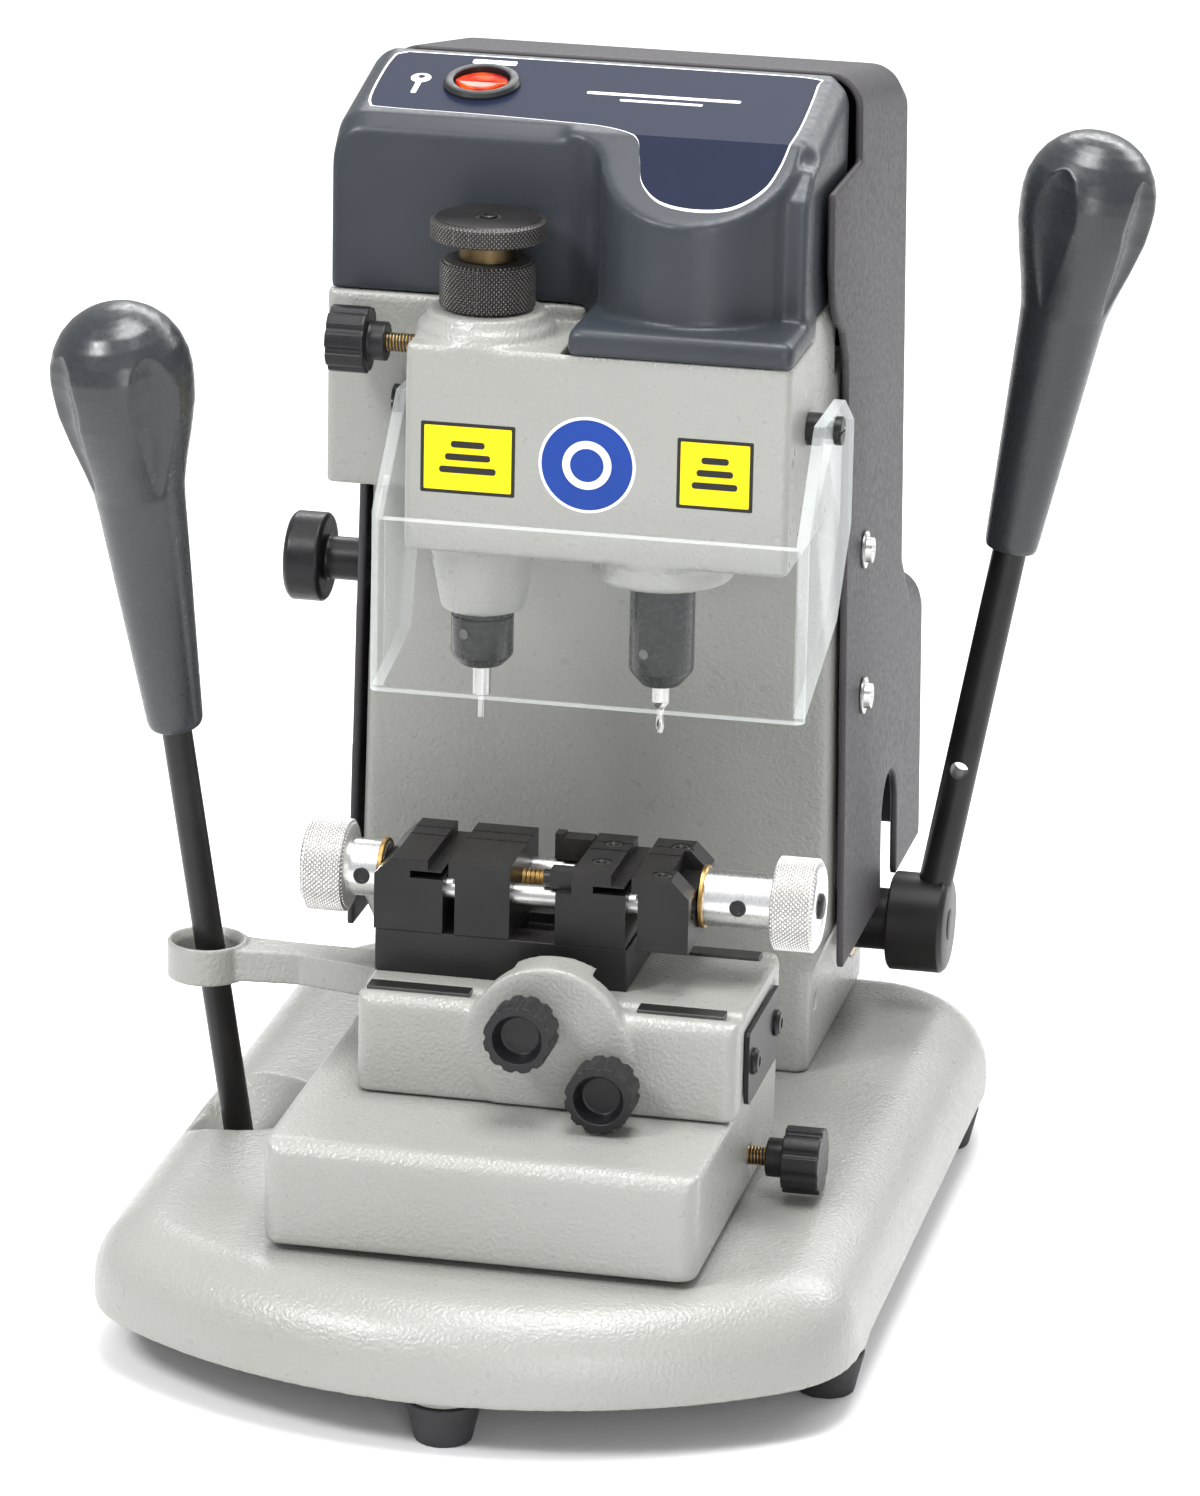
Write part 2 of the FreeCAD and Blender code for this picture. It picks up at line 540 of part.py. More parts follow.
def cutter():
    shank = rod((CUTTER_X, TOOL_Y, 197), Z_AXIS, 3.0, 28)
    taper = cone((CUTTER_X, TOOL_Y, 194), Z_AXIS, 1.4, 3.0, 3)
    tip = rod((CUTTER_X, TOOL_Y, TOOL_TIP_Z), Z_AXIS, 1.4, 194 - TOOL_TIP_Z)
    return fuse(shank, taper, tip)


def tracer_quill():
    """Sprung quill that carries the tracer collet."""
    return revolve([(3.05, 207), (7, 207), (7, 226), (9, 226), (9, 300), (5, 300), (5, 326),
                    (0, 326), (0, 230), (3.05, 230)], (TRACER_X, TOOL_Y, 0))


def tracer_collet():
    return revolve([(3.1, 205), (7.5, 205), (10.45, 208.5), (10.45, 225.2), (7.05, 225.2), (7.05, 206.5),
                    (3.1, 206.5)], (TRACER_X, TOOL_Y, 0))


def tracer_point():
    shank = rod((TRACER_X, TOOL_Y, 194), Z_AXIS, 3.0, 34)
    tip = rod((TRACER_X, TOOL_Y, TOOL_TIP_Z), Z_AXIS, 1.1, 194 - TOOL_TIP_Z)
    return fuse(shank, tip)


def adjuster_sleeve():
    """Olive ring sleeve between nut and disc, screwed into the head."""
    return revolve([(5.2, 324), (8.6, 324), (8.6, 344), (10, 344), (10, 350), (5.2, 350)], (TRACER_X, TOOL_Y, 0))


def tracer_nut():
    return revolve([(8.7, 327.3), (14.8, 327.3), (16, 328.8), (16, 342), (14.8, 343.5), (8.7, 343.5)],
                   (TRACER_X, TOOL_Y, 0))


def tracer_disc():
    return revolve([(0, 350.3), (18.4, 350.3), (19.25, 351.1), (19.25, 356.5), (18.4, 357.3), (3, 357.3),
                    (3, 355), (0, 355)], (TRACER_X, TOOL_Y, 0)).fuse(
                        rod((TRACER_X, TOOL_Y, 330), Z_AXIS, 5.0, 20.5)).removeSplitter()


def tracer_lock_knob():
    head = lobed((-80, TOOL_Y, 313), X_AXIS, 11.1, 13, 9, 1.8)
    hub = rod((-67.5, TOOL_Y, 313), X_AXIS, 6.5, 6.5)
    return fuse(head, hub, rod((-62, TOOL_Y, 313), X_AXIS, 3.0, 23))


def shield():
    """Clear U-shaped guard, 4 mm thick."""
    t = 4.0
    left, right = -58.0, 88.0
    front, low, high = -92.5, 203.0, 262.0
    side = [(front, low), (-34, 222), (-12, 250), (-12, 286), (-30, 297), (-66, 297), (front, high)]
    trimmed = [(front, low), (-50, 212), (-42, 236), (-42, 288), (-46, 297), (-58, 297), (-72, 282), (front, high)]
    plate = box((left, right), (front, front + t), (low, high))
    right_arm = prism([(right - t, y, z) for y, z in side], (t, 0, 0))
    left_arm = prism([(left, y, z) for y, z in trimmed], (t, 0, 0))
    body = fuse(plate, right_arm, left_arm)
    body = round_edges(body, 2.9, lambda e: along(e, Z_AXIS) and middle(e).y < front + 0.1
                       and (middle(e).x < left + 0.1 or middle(e).x > right - 0.1))
    return body.cut(rod((-60, SHIELD_PIVOT_Y, SHIELD_PIVOT_Z), X_AXIS, 3.05, 160))


def shield_screws():
    """Slotted black pivot screws with their spacers."""
    y, z = SHIELD_PIVOT_Y, SHIELD_PIVOT_Z
    right = fuse(rod((68, y, z), X_AXIS, 2.0, 12), rod((79.1, y, z), X_AXIS, 5.5, 4.7),
                 rod((83, y, z), X_AXIS, 3.0, 6), rod((88.2, y, z), X_AXIS, 4.8, 2.6))
    left = fuse(rod((-50, y, z), X_AXIS, 2.0, 12), rod((-53.8, y, z), X_AXIS, 5.5, 4.0),
                rod((-59, y, z), X_AXIS, 3.0, 6), rod((-60.8, y, z), X_AXIS, 4.8, 2.6))
    slots = [box((89.8, 91), (y - 6, y + 6), (z - 0.5, z + 0.5)),
             box((-61, -60), (y - 6, y + 6), (z - 0.5, z + 0.5))]
    return Part.makeCompound([right.cut(slots[0]), left.cut(slots[1])])


# ---- down-feed lever ----
def feed_shaft():
    return rod((-78, SHAFT_Y, SHAFT_Z), X_AXIS, 11.0, 167.4)


def lever_hub():
    return rod((89.5, SHAFT_Y, SHAFT_Z), X_AXIS, 17.5, 20.5).cut(lean_rod(6.0, 10, 40))


def pinion():
    """Pinion on the shaft; a tooth points at the rack."""
    step = 2 * math.pi / PINION_TEETH
    root, tip = PINION_R - GEAR_MODULE * 1.25, PINION_R + GEAR_MODULE * 0.95
    points = []
    for i in range(PINION_TEETH):
        a = math.pi + i * step
        for offset, r in ((-0.30, root), (-0.235, PINION_R), (-0.11, tip), (0.11, tip), (0.235, PINION_R),
                          (0.30, root)):
            b = a + offset * step
            points.append((-6.5, SHAFT_Y + r * math.cos(b), SHAFT_Z + r * math.sin(b)))
    return prism(points, (13, 0, 0)).cut(rod((-8, SHAFT_Y, SHAFT_Z), X_AXIS, 11.0, 16))


def lean_rod(radius, start, end):
    """Cylinder along the right lever, from start to end mm above the shaft axis."""
    axis = V(math.sin(LEVER_LEAN), 0, math.cos(LEVER_LEAN))
    p = V(LEVER_X, SHAFT_Y, SHAFT_Z).add(axis * start)
    return Part.makeCylinder(radius, end - start, p, axis)


def lever_rod():
    axis = V(math.sin(LEVER_LEAN), 0, math.cos(LEVER_LEAN))
    hole = V(LEVER_X, SHAFT_Y, SHAFT_Z).add(axis * 60)
    body = lean_rod(6.0, 10, 260)
    return body.cut(Part.makeCylinder(3.2, 30, hole.sub(Y_AXIS * 15), Y_AXIS))


def grip(base, axis, rod_r):
    """Pear-shaped handle, blind-bored for its rod."""
    points = [V(0, 0, 0)] + [V(r, 0, h) for h, r in GRIP_PROFILE] + [V(0, 0, GRIP_LENGTH)]
    face = Part.Face(Part.makePolygon(points + [points[0]]))
    body = face.revolve(V(0, 0, 0), Z_AXIS, 360).cut(rod((0, 0, -1), Z_AXIS, rod_r, 121))
    body.Placement = FreeCAD.Placement(base, FreeCAD.Rotation(Z_AXIS, axis))
    return body


def right_grip():
    axis = V(math.sin(LEVER_LEAN), 0, math.cos(LEVER_LEAN))
    return grip(V(LEVER_X, SHAFT_Y, SHAFT_Z).add(axis * RIGHT_GRIP_START), axis, 6.0)


# ---- left lever ----
STICK_AXIS = STICK_EYE.sub(STICK_PIVOT).normalize()


def stick_ball():
    return Part.makeSphere(BALL_R, STICK_PIVOT)


def stick_rod():
    return Part.makeCylinder(5.0, LEFT_GRIP_START + 115, STICK_PIVOT, STICK_AXIS).cut(
        Part.makeSphere(BALL_R, STICK_PIVOT))


def left_grip():
    return grip(STICK_PIVOT.add(STICK_AXIS * LEFT_GRIP_START), STICK_AXIS, 5.0)


# ---- lower slide ----
def y_slide_casting():
    body = box(Y_SLIDE_X, Y_SLIDE_Y, Y_SLIDE_Z)
    body = round_edges(body, 7, lambda e: along(e, Z_AXIS) or
                       (middle(e).z > Y_SLIDE_Z[1] - 0.1 and middle(e).y < Y_SLIDE_Y[0] + 0.1))
    body = body.cut(box((Y_SLIDE_X[0] + 6, Y_SLIDE_X[1] - 6), (Y_SLIDE_Y[0] + 7, Y_SLIDE_Y[1] + 5),
                        (Y_SLIDE_Z[0] - 1, Y_SLIDE_Z[1] - 7)))
    for x in RAIL_XS:
        body = body.fuse(box((x - 10, x + 10), (-145, -111), (52, Y_SLIDE_Z[1] - 6)))
        body = body.cut(rod((x, -201, RAIL_Z), Y_AXIS, RAIL_R + 0.05, 140))
    body = body.cut(rod((60, -115, 61), X_AXIS, 3.1, 30))
    return body.removeSplitter()


def y_lock_knob():
    hub = rod((84.5, -115, 61), X_AXIS, 6.5, 7)
    head = lobed((90.5, -115, 61), X_AXIS, 11.2, 12.5, 9, 1.8)
    return fuse(head, hub, rod((68, -115, 61), X_AXIS, 3.0, 22))


def x_rails():
    """Two crossed rails on top of the lower slide, hidden under the upper one."""
    return Part.makeCompound([box((-22, 57), (y - 4, y + 4), (Y_SLIDE_Z[1], Y_SLIDE_Z[1] + 10))
                              for y in (-140, -95)])


# ---- upper slide with the clamps' fixed side ----
def x_slide_casting():
    body = box(X_SLIDE_X, X_SLIDE_Y, X_SLIDE_Z)
    body = round_edges(body, 5, lambda e: along(e, Z_AXIS) or
                       (middle(e).z > X_SLIDE_Z[1] - 0.1 and middle(e).y < X_SLIDE_Y[0] + 0.1))
    hump = rod((18, X_SLIDE_Y[0] - 1, 107), Y_AXIS, 27, 15).cut(box((-30, 60), (-200, 0), (60, X_SLIDE_Z[0])))
    body = fuse(body, hump)
    body = body.cut(box((X_SLIDE_X[0] + 4, X_SLIDE_X[1] - 3), (-150, -83), (X_SLIDE_Z[0] - 1, 98)))
    # ways for the ground strips, and lock screw bores
    for y in (-148, -87.9):
        body = body.cut(box((X_SLIDE_X[0] - 1, X_SLIDE_X[1] + 1), (y, y + 7), (X_SLIDE_Z[1] - 1.5, 130)))
    body = body.cut(rod((12.6, -165, KNOB_1_Z), Y_AXIS, 3.1, 20))
    body = body.cut(rod((39.7, -165, KNOB_2_Z), Y_AXIS, 3.1, 20))
    body = body.cut(box((X_SLIDE_X[1] - 1.2, X_SLIDE_X[1] + 1), (-142, -88), (X_SLIDE_Z[0] - 1, 113)))
    return body.removeSplitter()


def slide_arm():
    """Arm from the slide's rear left to the eye round the left lever."""
    e = EYE_CENTRE
    ring = rod((e.x, e.y, 98), Z_AXIS, 13.5, 13)
    beam = prism([(-46.05, -104, 99), (-46.05, -84, 99), (-80, -84, 99), (e.x + 4, -82, 99),
                  (e.x + 4, -99, 99), (-80, -96, 99)], (0, 0, 11))
    body = fuse(ring, beam)
    body = body.cut(rod((e.x, e.y, 90), Z_AXIS, 10.5, 40))
    for z, start, end in ((98, 12.2, 10.5), (108.5, 10.5, 12.2)):
        body = body.cut(cone((e.x, e.y, z - 0.01), Z_AXIS, start, end, 2.52))
    return body.removeSplitter()


def way_strips():
    long = (X_SLIDE_X[0] + 2, X_SLIDE_X[1] - 6)
    front = box(long, (-147.9, -141.1), (X_SLIDE_Z[1] - 1.4, X_SLIDE_Z[1] + 0.6))
    rear = box(long, (-87.8, -81), (X_SLIDE_Z[1] - 1.4, X_SLIDE_Z[1] + 0.6))
    halves = front.cut(box((-10, 46), (-150, -130), (110, 130))).Solids
    return Part.makeCompound(halves + [rear])


def clamp_plate():
    plate = box((-45.5, 39), CLAMP_Y, (CLAMP_PLATE_Z[0] + 0.1, CLAMP_PLATE_Z[1]))
    return plate.cut(box((-0.5, 14.7), (-118, -101), (CLAMP_PLATE_Z[1] - 4, CLAMP_PLATE_Z[1] + 1)))


def clamp_half(x0, x1, chamfer_side):
    """Steel block of a clamp with a chamfered outer top corner and guide rod bores."""
    z0, z1 = CLAMP_PLATE_Z[1] + 0.1, CLAMP_TOP
    cut = 6.0
    if chamfer_side < 0:
        view = [(x0, z0), (x1, z0), (x1, z1), (x0 + cut, z1), (x0, z1 - cut)]
    elif chamfer_side > 0:
        view = [(x0, z0), (x1, z0), (x1, z1 - cut), (x1 - cut, z1), (x0, z1)]
    else:
        view = [(x0, z0), (x1, z0), (x1, z1), (x0, z1)]
    body = prism([(x, CLAMP_Y[0], z) for x, z in view], (0, CLAMP_Y[1] - CLAMP_Y[0], 0))
    return body


def rod_bores(radius):
    bores = [rod((-60, y, CLAMP_ROD_Z), X_AXIS, radius, 140) for y in CLAMP_ROD_YS]
    return Part.makeCompound(bores)


def cross_lines(x0, x1):
    """Thin reference lines milled across the top."""
    return Part.makeCompound([box((x0, x1), (y, y + 0.8), (CLAMP_TOP - 0.7, CLAMP_TOP + 1)) for y in (-105, -97)])


LIP_Z = CLAMP_TOP - 6.5          # underside of the fixed lip that the key rests on
SHELF_Z = CLAMP_TOP - 3.6        # floor of the key groove


def fixed_jaw(left, groove, chamfer_side):
    """Fixed half: its wall bounds the groove, and its shelf is the groove's floor."""
    wall = groove - 3.4
    body = clamp_half(left, wall, chamfer_side)
    gap_left = groove + 1.6
    shelf = box((wall - 0.01, wall + 4.5), CLAMP_Y, (LIP_Z + 2.4, SHELF_Z))
    stem = box((wall - 0.01, gap_left), CLAMP_Y, (CLAMP_PLATE_Z[1] + 0.1, LIP_Z))
    pocket = box((wall - 8, wall + 8), (-150, -70), (LIP_Z, LIP_Z + 2.4))
    body = body.fuse(stem).cut(pocket.common(box((wall - 6, 90), (-150, -70), (100, 200))))
    body = body.fuse(shelf).removeSplitter()
    return body.cut(rod_bores(CLAMP_ROD_R + 0.05)).cut(rod((-60, CLAMP_MID_Y, CLAMP_ROD_Z), X_AXIS, 4.6, 140)).cut(
        cross_lines(left, wall))


def moving_jaw(groove, right, chamfer_side):
    """Moving half: its nose reaches over the gap to hold the key."""
    start = groove + 1.6 + JAW_GAP
    body = clamp_half(start, right, chamfer_side)
    nose = box((groove + 3.4, start + 0.01), CLAMP_Y, (LIP_Z + 1.0, CLAMP_TOP))
    body = body.fuse(nose).removeSplitter()
    return body.cut(rod_bores(CLAMP_ROD_R + 0.1)).cut(cross_lines(groove, right))


def left_fixed_jaw():
    return fixed_jaw(-46.0, GROOVE_LEFT_X, -1)


def left_moving_jaw():
    body = moving_jaw(GROOVE_LEFT_X, -0.5, 0)
    return body.cut(rod((-30, CLAMP_MID_Y, CLAMP_ROD_Z), X_AXIS, 4.5, 40))


def right_fixed_jaw():
    body = fixed_jaw(14.7, GROOVE_RIGHT_X, 0)
    body = body.cut(box((14, 20), (-140, -80), (CLAMP_TOP - 7.4, CLAMP_TOP + 1)))
    for y in (-117, -98):
        body = body.cut(rod((27, y, CLAMP_TOP - 3.5), Z_AXIS, 3.3, 5))
    return body


def right_moving_jaw():
    body = moving_jaw(GROOVE_RIGHT_X, 59.0, 1)
    body = body.cut(box((51, 70), (-120, -99), (CLAMP_TOP - 6.5, CLAMP_TOP + 1)))
    body = body.cut(rod((40, CLAMP_MID_Y, CLAMP_ROD_Z), X_AXIS, 4.6, 40))
    for y in (-125, -95):
        body = body.cut(rod((49, y, CLAMP_TOP - 3.5), Z_AXIS, 3.3, 5))
    return body


def key_stops():
    """Two small blocks with pins that index the key blank."""
    front = fuse(box((12, 19.9), (-127, -121), (CLAMP_TOP - 7.3, CLAMP_TOP - 1)),
                 rod((9.5, -124, CLAMP_TOP - 4.5), X_AXIS, 2.6, 3))
    rear = fuse(box((10, 19.9), (-98, -91), (CLAMP_TOP - 7.3, CLAMP_TOP + 0.5)),
                box((7, 10.1), (-97, -92), (CLAMP_TOP - 7.3, CLAMP_TOP + 1.5)))
    return Part.makeCompound([front, rear])


def clamp_rods():
    return Part.makeCompound([rod((-46, y, CLAMP_ROD_Z), X_AXIS, CLAMP_ROD_R, 104) for y in CLAMP_ROD_YS])


def left_draw_screw():
    """Brass screw that the left knob turns in the moving jaw."""
    return rod((-70, CLAMP_MID_Y, CLAMP_ROD_Z), X_AXIS, 4.4, 80)


def right_clamp_stud():
    """Brass stud fixed in the right clamp; its knob runs along it."""
    return rod((12.5, CLAMP_MID_Y, CLAMP_ROD_Z), X_AXIS, 4.4, 84)


def clamp_knob(x, side, sleeve, bore):
    """Turned aluminium knob: knurled rim outside, smooth sleeve inside."""
    z = CLAMP_ROD_Z
    profile = [(bore, 0), (9.5, 0), (9.5, sleeve), (14.6, sleeve), (15.6, sleeve + 1), (15.6, sleeve + 13.5),
               (14.6, sleeve + 14.5), (bore, sleeve + 14.5)]
    knob = revolve(profile, (x, CLAMP_MID_Y, z), V(side, 0, 0))
    return knob.cut(rod((x + side * sleeve * 0.55, CLAMP_MID_Y - 12, z), Y_AXIS, 2.1, 6))


# ---- friction locks on the upper slide ----
def front_lock_knob(x, z, y_face):
    """Lobed knob with a dished face; its axis points at the operator."""
    toward = V(0, -1, 0)
    head = lobed((x, y_face - 7, z), toward, 11.3, 13, 12, 1.5)
    dish = cone((x, y_face - 20.5, z), Y_AXIS, 8.4, 6.4, 6)
    hub = rod((x, y_face - 0.5, z), toward, 6.5, 7)
    stud = rod((x, y_face + 9, z), toward, 3.0, 10)
    return fuse(head.cut(dish), hub, stud)


def upper_front_knob():
    return front_lock_knob(12.6, KNOB_1_Z, X_SLIDE_Y[0] - 1)


def lower_front_knob():
    return front_lock_knob(39.7, KNOB_2_Z, X_SLIDE_Y[0] - 1)


def height_lock_knob():
    """Round knob on the left of the column."""
    y, z = HEIGHT_LOCK_Y, HEIGHT_LOCK_Z
    head = revolve([(0, 0), (14.5, 0), (15.5, 1), (15.5, 11.5), (14, 13), (0, 13)], (-101, y, z), V(-1, 0, 0))
    hub = rod((-85.8, y, z), V(-1, 0, 0), 7.5, 15.3)
    return fuse(head, hub, rod((-74.5, y, z), V(-1, 0, 0), 4.0, 12))


NODES = {
    "base_casting": base_casting,
    "rubber_feet": rubber_feet,
    "column_casting": column_casting,
    "frame_screws": frame_screws,
    "back_cover": back_cover,
    "guide_rails": guide_rails,
    "shaft_bushes": shaft_bushes,
    "power_inlet": power_inlet,
    "y_rails": y_rails,
    "height_lock_knob": height_lock_knob,
    "head_casting": head_casting,
    "head_cover": head_cover,
    "switch_bezel": switch_bezel,
    "switch_rocker": switch_rocker,
    "carriage": carriage,
    "carriage_bushes": carriage_bushes,
    "gear_rack": gear_rack,
    "motor": motor,
    "drive_belt": drive_belt,
    "motor_pulley": lambda: fuse(pulley(MOTOR_X, MOTOR_Y, PULLEY_LARGE, 4.0),
                                 rod((MOTOR_X, MOTOR_Y, 286), Z_AXIS, 4, 74)),
    "spindle_bearings": spindle_bearings,
    "spindle": lambda: fuse(spindle(), pulley(CUTTER_X, TOOL_Y, PULLEY_SMALL, 6.9)),
    "cutter_collet": cutter_collet,
    "cutter": cutter,
    "tracer_quill": tracer_quill,
    "tracer_collet": tracer_collet,
    "tracer_point": tracer_point,
    "adjuster_sleeve": adjuster_sleeve,
    "tracer_nut": tracer_nut,
    "tracer_disc": tracer_disc,
    "tracer_lock_knob": tracer_lock_knob,
    "shield": shield,
    "shield_screws": shield_screws,
    "feed_shaft": feed_shaft,
    "pinion": pinion,
    "lever_hub": lever_hub,
    "lever_rod": lever_rod,
    "right_grip": right_grip,
    "stick_ball": stick_ball,
    "stick_rod": stick_rod,
    "left_grip": left_grip,
    "y_slide_casting": y_slide_casting,
    "x_rails": x_rails,
    "y_lock_knob": y_lock_knob,
    "x_slide_casting": x_slide_casting,
    "slide_arm": slide_arm,
    "way_strips": way_strips,
    "clamp_plate": clamp_plate,
    "left_fixed_jaw": left_fixed_jaw,
    "right_fixed_jaw": right_fixed_jaw,
    "clamp_rods": clamp_rods,
    "key_stops": key_stops,
    "right_clamp_stud": right_clamp_stud,
    "upper_front_knob": upper_front_knob,
    "lower_front_knob": lower_front_knob,
    "left_moving_jaw": left_moving_jaw,
    "left_clamp_knob": lambda: clamp_knob(-46.3, -1, 12.5, 4.4),
    "left_draw_screw": left_draw_screw,
    "right_moving_jaw": right_moving_jaw,
    "right_clamp_knob": lambda: clamp_knob(59.3, 1, 24.7, 4.45),
}

if __name__ == "__main__":
    for name, build in NODES.items():
        shape = build()
        shape.translate(V(-MIDDLE_X, -MIDDLE_Y, 0))
        bb = shape.BoundBox
        print("%-20s valid %s solids %d vol %.0f  x %.1f %.1f y %.1f %.1f z %.1f %.1f" % (
            name, shape.isValid(), len(shape.Solids), shape.Volume, bb.XMin, bb.XMax, bb.YMin, bb.YMax,
            bb.ZMin, bb.ZMax))
        shape.exportStep("parts/" + name + ".step")
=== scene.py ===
import json
import math

import bmesh
import bpy
from mathutils import Matrix, Vector


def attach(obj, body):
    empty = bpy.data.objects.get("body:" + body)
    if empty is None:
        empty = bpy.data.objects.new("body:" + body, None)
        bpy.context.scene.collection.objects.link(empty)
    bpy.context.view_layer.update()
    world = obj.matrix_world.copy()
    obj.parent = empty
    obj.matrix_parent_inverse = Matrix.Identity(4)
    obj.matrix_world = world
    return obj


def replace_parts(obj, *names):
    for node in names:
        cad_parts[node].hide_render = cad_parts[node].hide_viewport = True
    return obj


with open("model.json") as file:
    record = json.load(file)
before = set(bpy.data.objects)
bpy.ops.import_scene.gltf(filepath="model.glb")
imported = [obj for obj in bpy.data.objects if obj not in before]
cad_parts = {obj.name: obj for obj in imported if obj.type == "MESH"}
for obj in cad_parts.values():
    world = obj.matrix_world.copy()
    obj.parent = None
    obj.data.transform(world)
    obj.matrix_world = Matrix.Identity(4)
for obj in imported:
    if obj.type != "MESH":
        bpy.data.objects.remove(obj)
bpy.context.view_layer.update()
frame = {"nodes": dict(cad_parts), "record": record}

SCENE = bpy.context.scene
SCENE.view_settings.view_transform = "Standard"

# ---------------------------------------------------------------- driving dimensions
# Millimetres in the drawing's own frame, unless a line says otherwise.
MM = 0.001
MIDDLE = Vector((9.62, -40.25, 0))      # where the part's origin lies in the drawing's frame
UP = (0, 0, 1)

# levers, from their pivots upwards
SHAFT_Y, SHAFT_Z = 90, 76
HUB_X = 89.5
LEVER_LEAN = math.radians(10.1)
RIGHT_AXIS = Vector((math.sin(LEVER_LEAN), 0, math.cos(LEVER_LEAN)))
RIGHT_FOOT = Vector((101.8, SHAFT_Y, SHAFT_Z))
RIGHT_GRIP_START = 142
STICK_PIVOT = Vector((-105, -75, 30))
STICK_AXIS = (Vector((-111.5, -90.8, 104.5)) - STICK_PIVOT).normalized()
LEFT_GRIP_START = 165.5

# outline of a grip as (height, radius), and the finger scoops in its ball
GRIP_LENGTH = 151.8
GRIP_OUTLINE = [(0, 8.3), (0.8, 9.1), (2, 9.3), (80, 14.3), (88, 15.0), (97, 17.1), (107, 19.9),
                (117, 22.3), (124, 23.0), (129, 23.15), (134, 22.6), (139, 20.9), (143.5, 18.2),
                (147, 14.8), (149.5, 11.0), (151, 7.4), (151.8, 2.0)]
SCOOP_LOW, SCOOP_WIDE, SCOOP_HIGH = 90.0, 123.0, 140.5
SCOOP_HALF_WIDTH = 9.0
SCOOP_DEPTH = 3.6

# key clamps
CLAMP_Y, CLAMP_Z = -109.5, 147.5
JAW_TOP_Z = 159
KNOB_WIDTH = 14.2
KNURL_BEVEL = 1.4
THREAD_DEPTH = 0.55
SIDE_PLATE_X = 80.55

# tracer on the left, cutter on the right
CUTTER_X, TRACER_X, TOOL_Y = 33.5, -27.5, -58
TOOL_TIP_Z = 185.9
SHANK_RADIUS = 3.0

# head, its sloping lid and what is printed on them
HEAD_FRONT = -82.0
ROUND_LABEL = (12.1, 282.6)
SWITCH = (-42.0, -7.0, 389.7)
LID_SLOPE, TOWER_SLOPE = 12.5 / 56.0, 29.0 / 53.0
CREASE_Y, CREASE_Z = -37.0, 383
SHEET_THICKNESS = 0.22
PANEL = [(-77, 8), (-77.5, -12), (-76, -26), (-70, -28.5), (-40, -29.2), (-10, -30.8), (6, -32.5), (17, -38),
         (20.5, -48), (23.5, -58), (31, -65.5), (43, -68), (55, -66), (63.5, -58), (67, -48), (68.5, -36),
         (69.5, -20), (69, 8), (67, 14), (40, 15), (-60, 15), (-74, 14)]
SHEET_EDGE_AREA = 0.0011       # square metres: a smaller face is a cut edge of the guard

# castings and mouldings that are softened: voxel size, then passes of relaxing
SOFT_CASTINGS = {
    "base_casting": (1.5, 6), "column_casting": (1.4, 3), "head_casting": (1.1, 5),
    "y_slide_casting": (1.1, 7), "x_slide_casting": (0.9, 6), "slide_arm": (0.6, 7),
    "head_cover": (1.0, 20), "back_cover": (1.0, 3), "upper_front_knob": (0.32, 4),
    "lower_front_knob": (0.32, 4), "tracer_lock_knob": (0.32, 4), "y_lock_knob": (0.32, 4),
    "height_lock_knob": (0.45, 4), "rubber_feet": (0.6, 4), "switch_rocker": (0.35, 3),
}

# camera: place, then degrees round to the right, upwards and of roll
CAMERA_PLACE = (484.7, -2310.5, 908.6)
CAMERA_ANGLES = (11.82, 17.60, 1.16)
CAMERA_LENS = 174.2


def at(x, y, z):
    """A point of the drawing's frame, in millimetres, as a scene point in metres."""
    return (Vector((x, y, z)) - MIDDLE) * MM


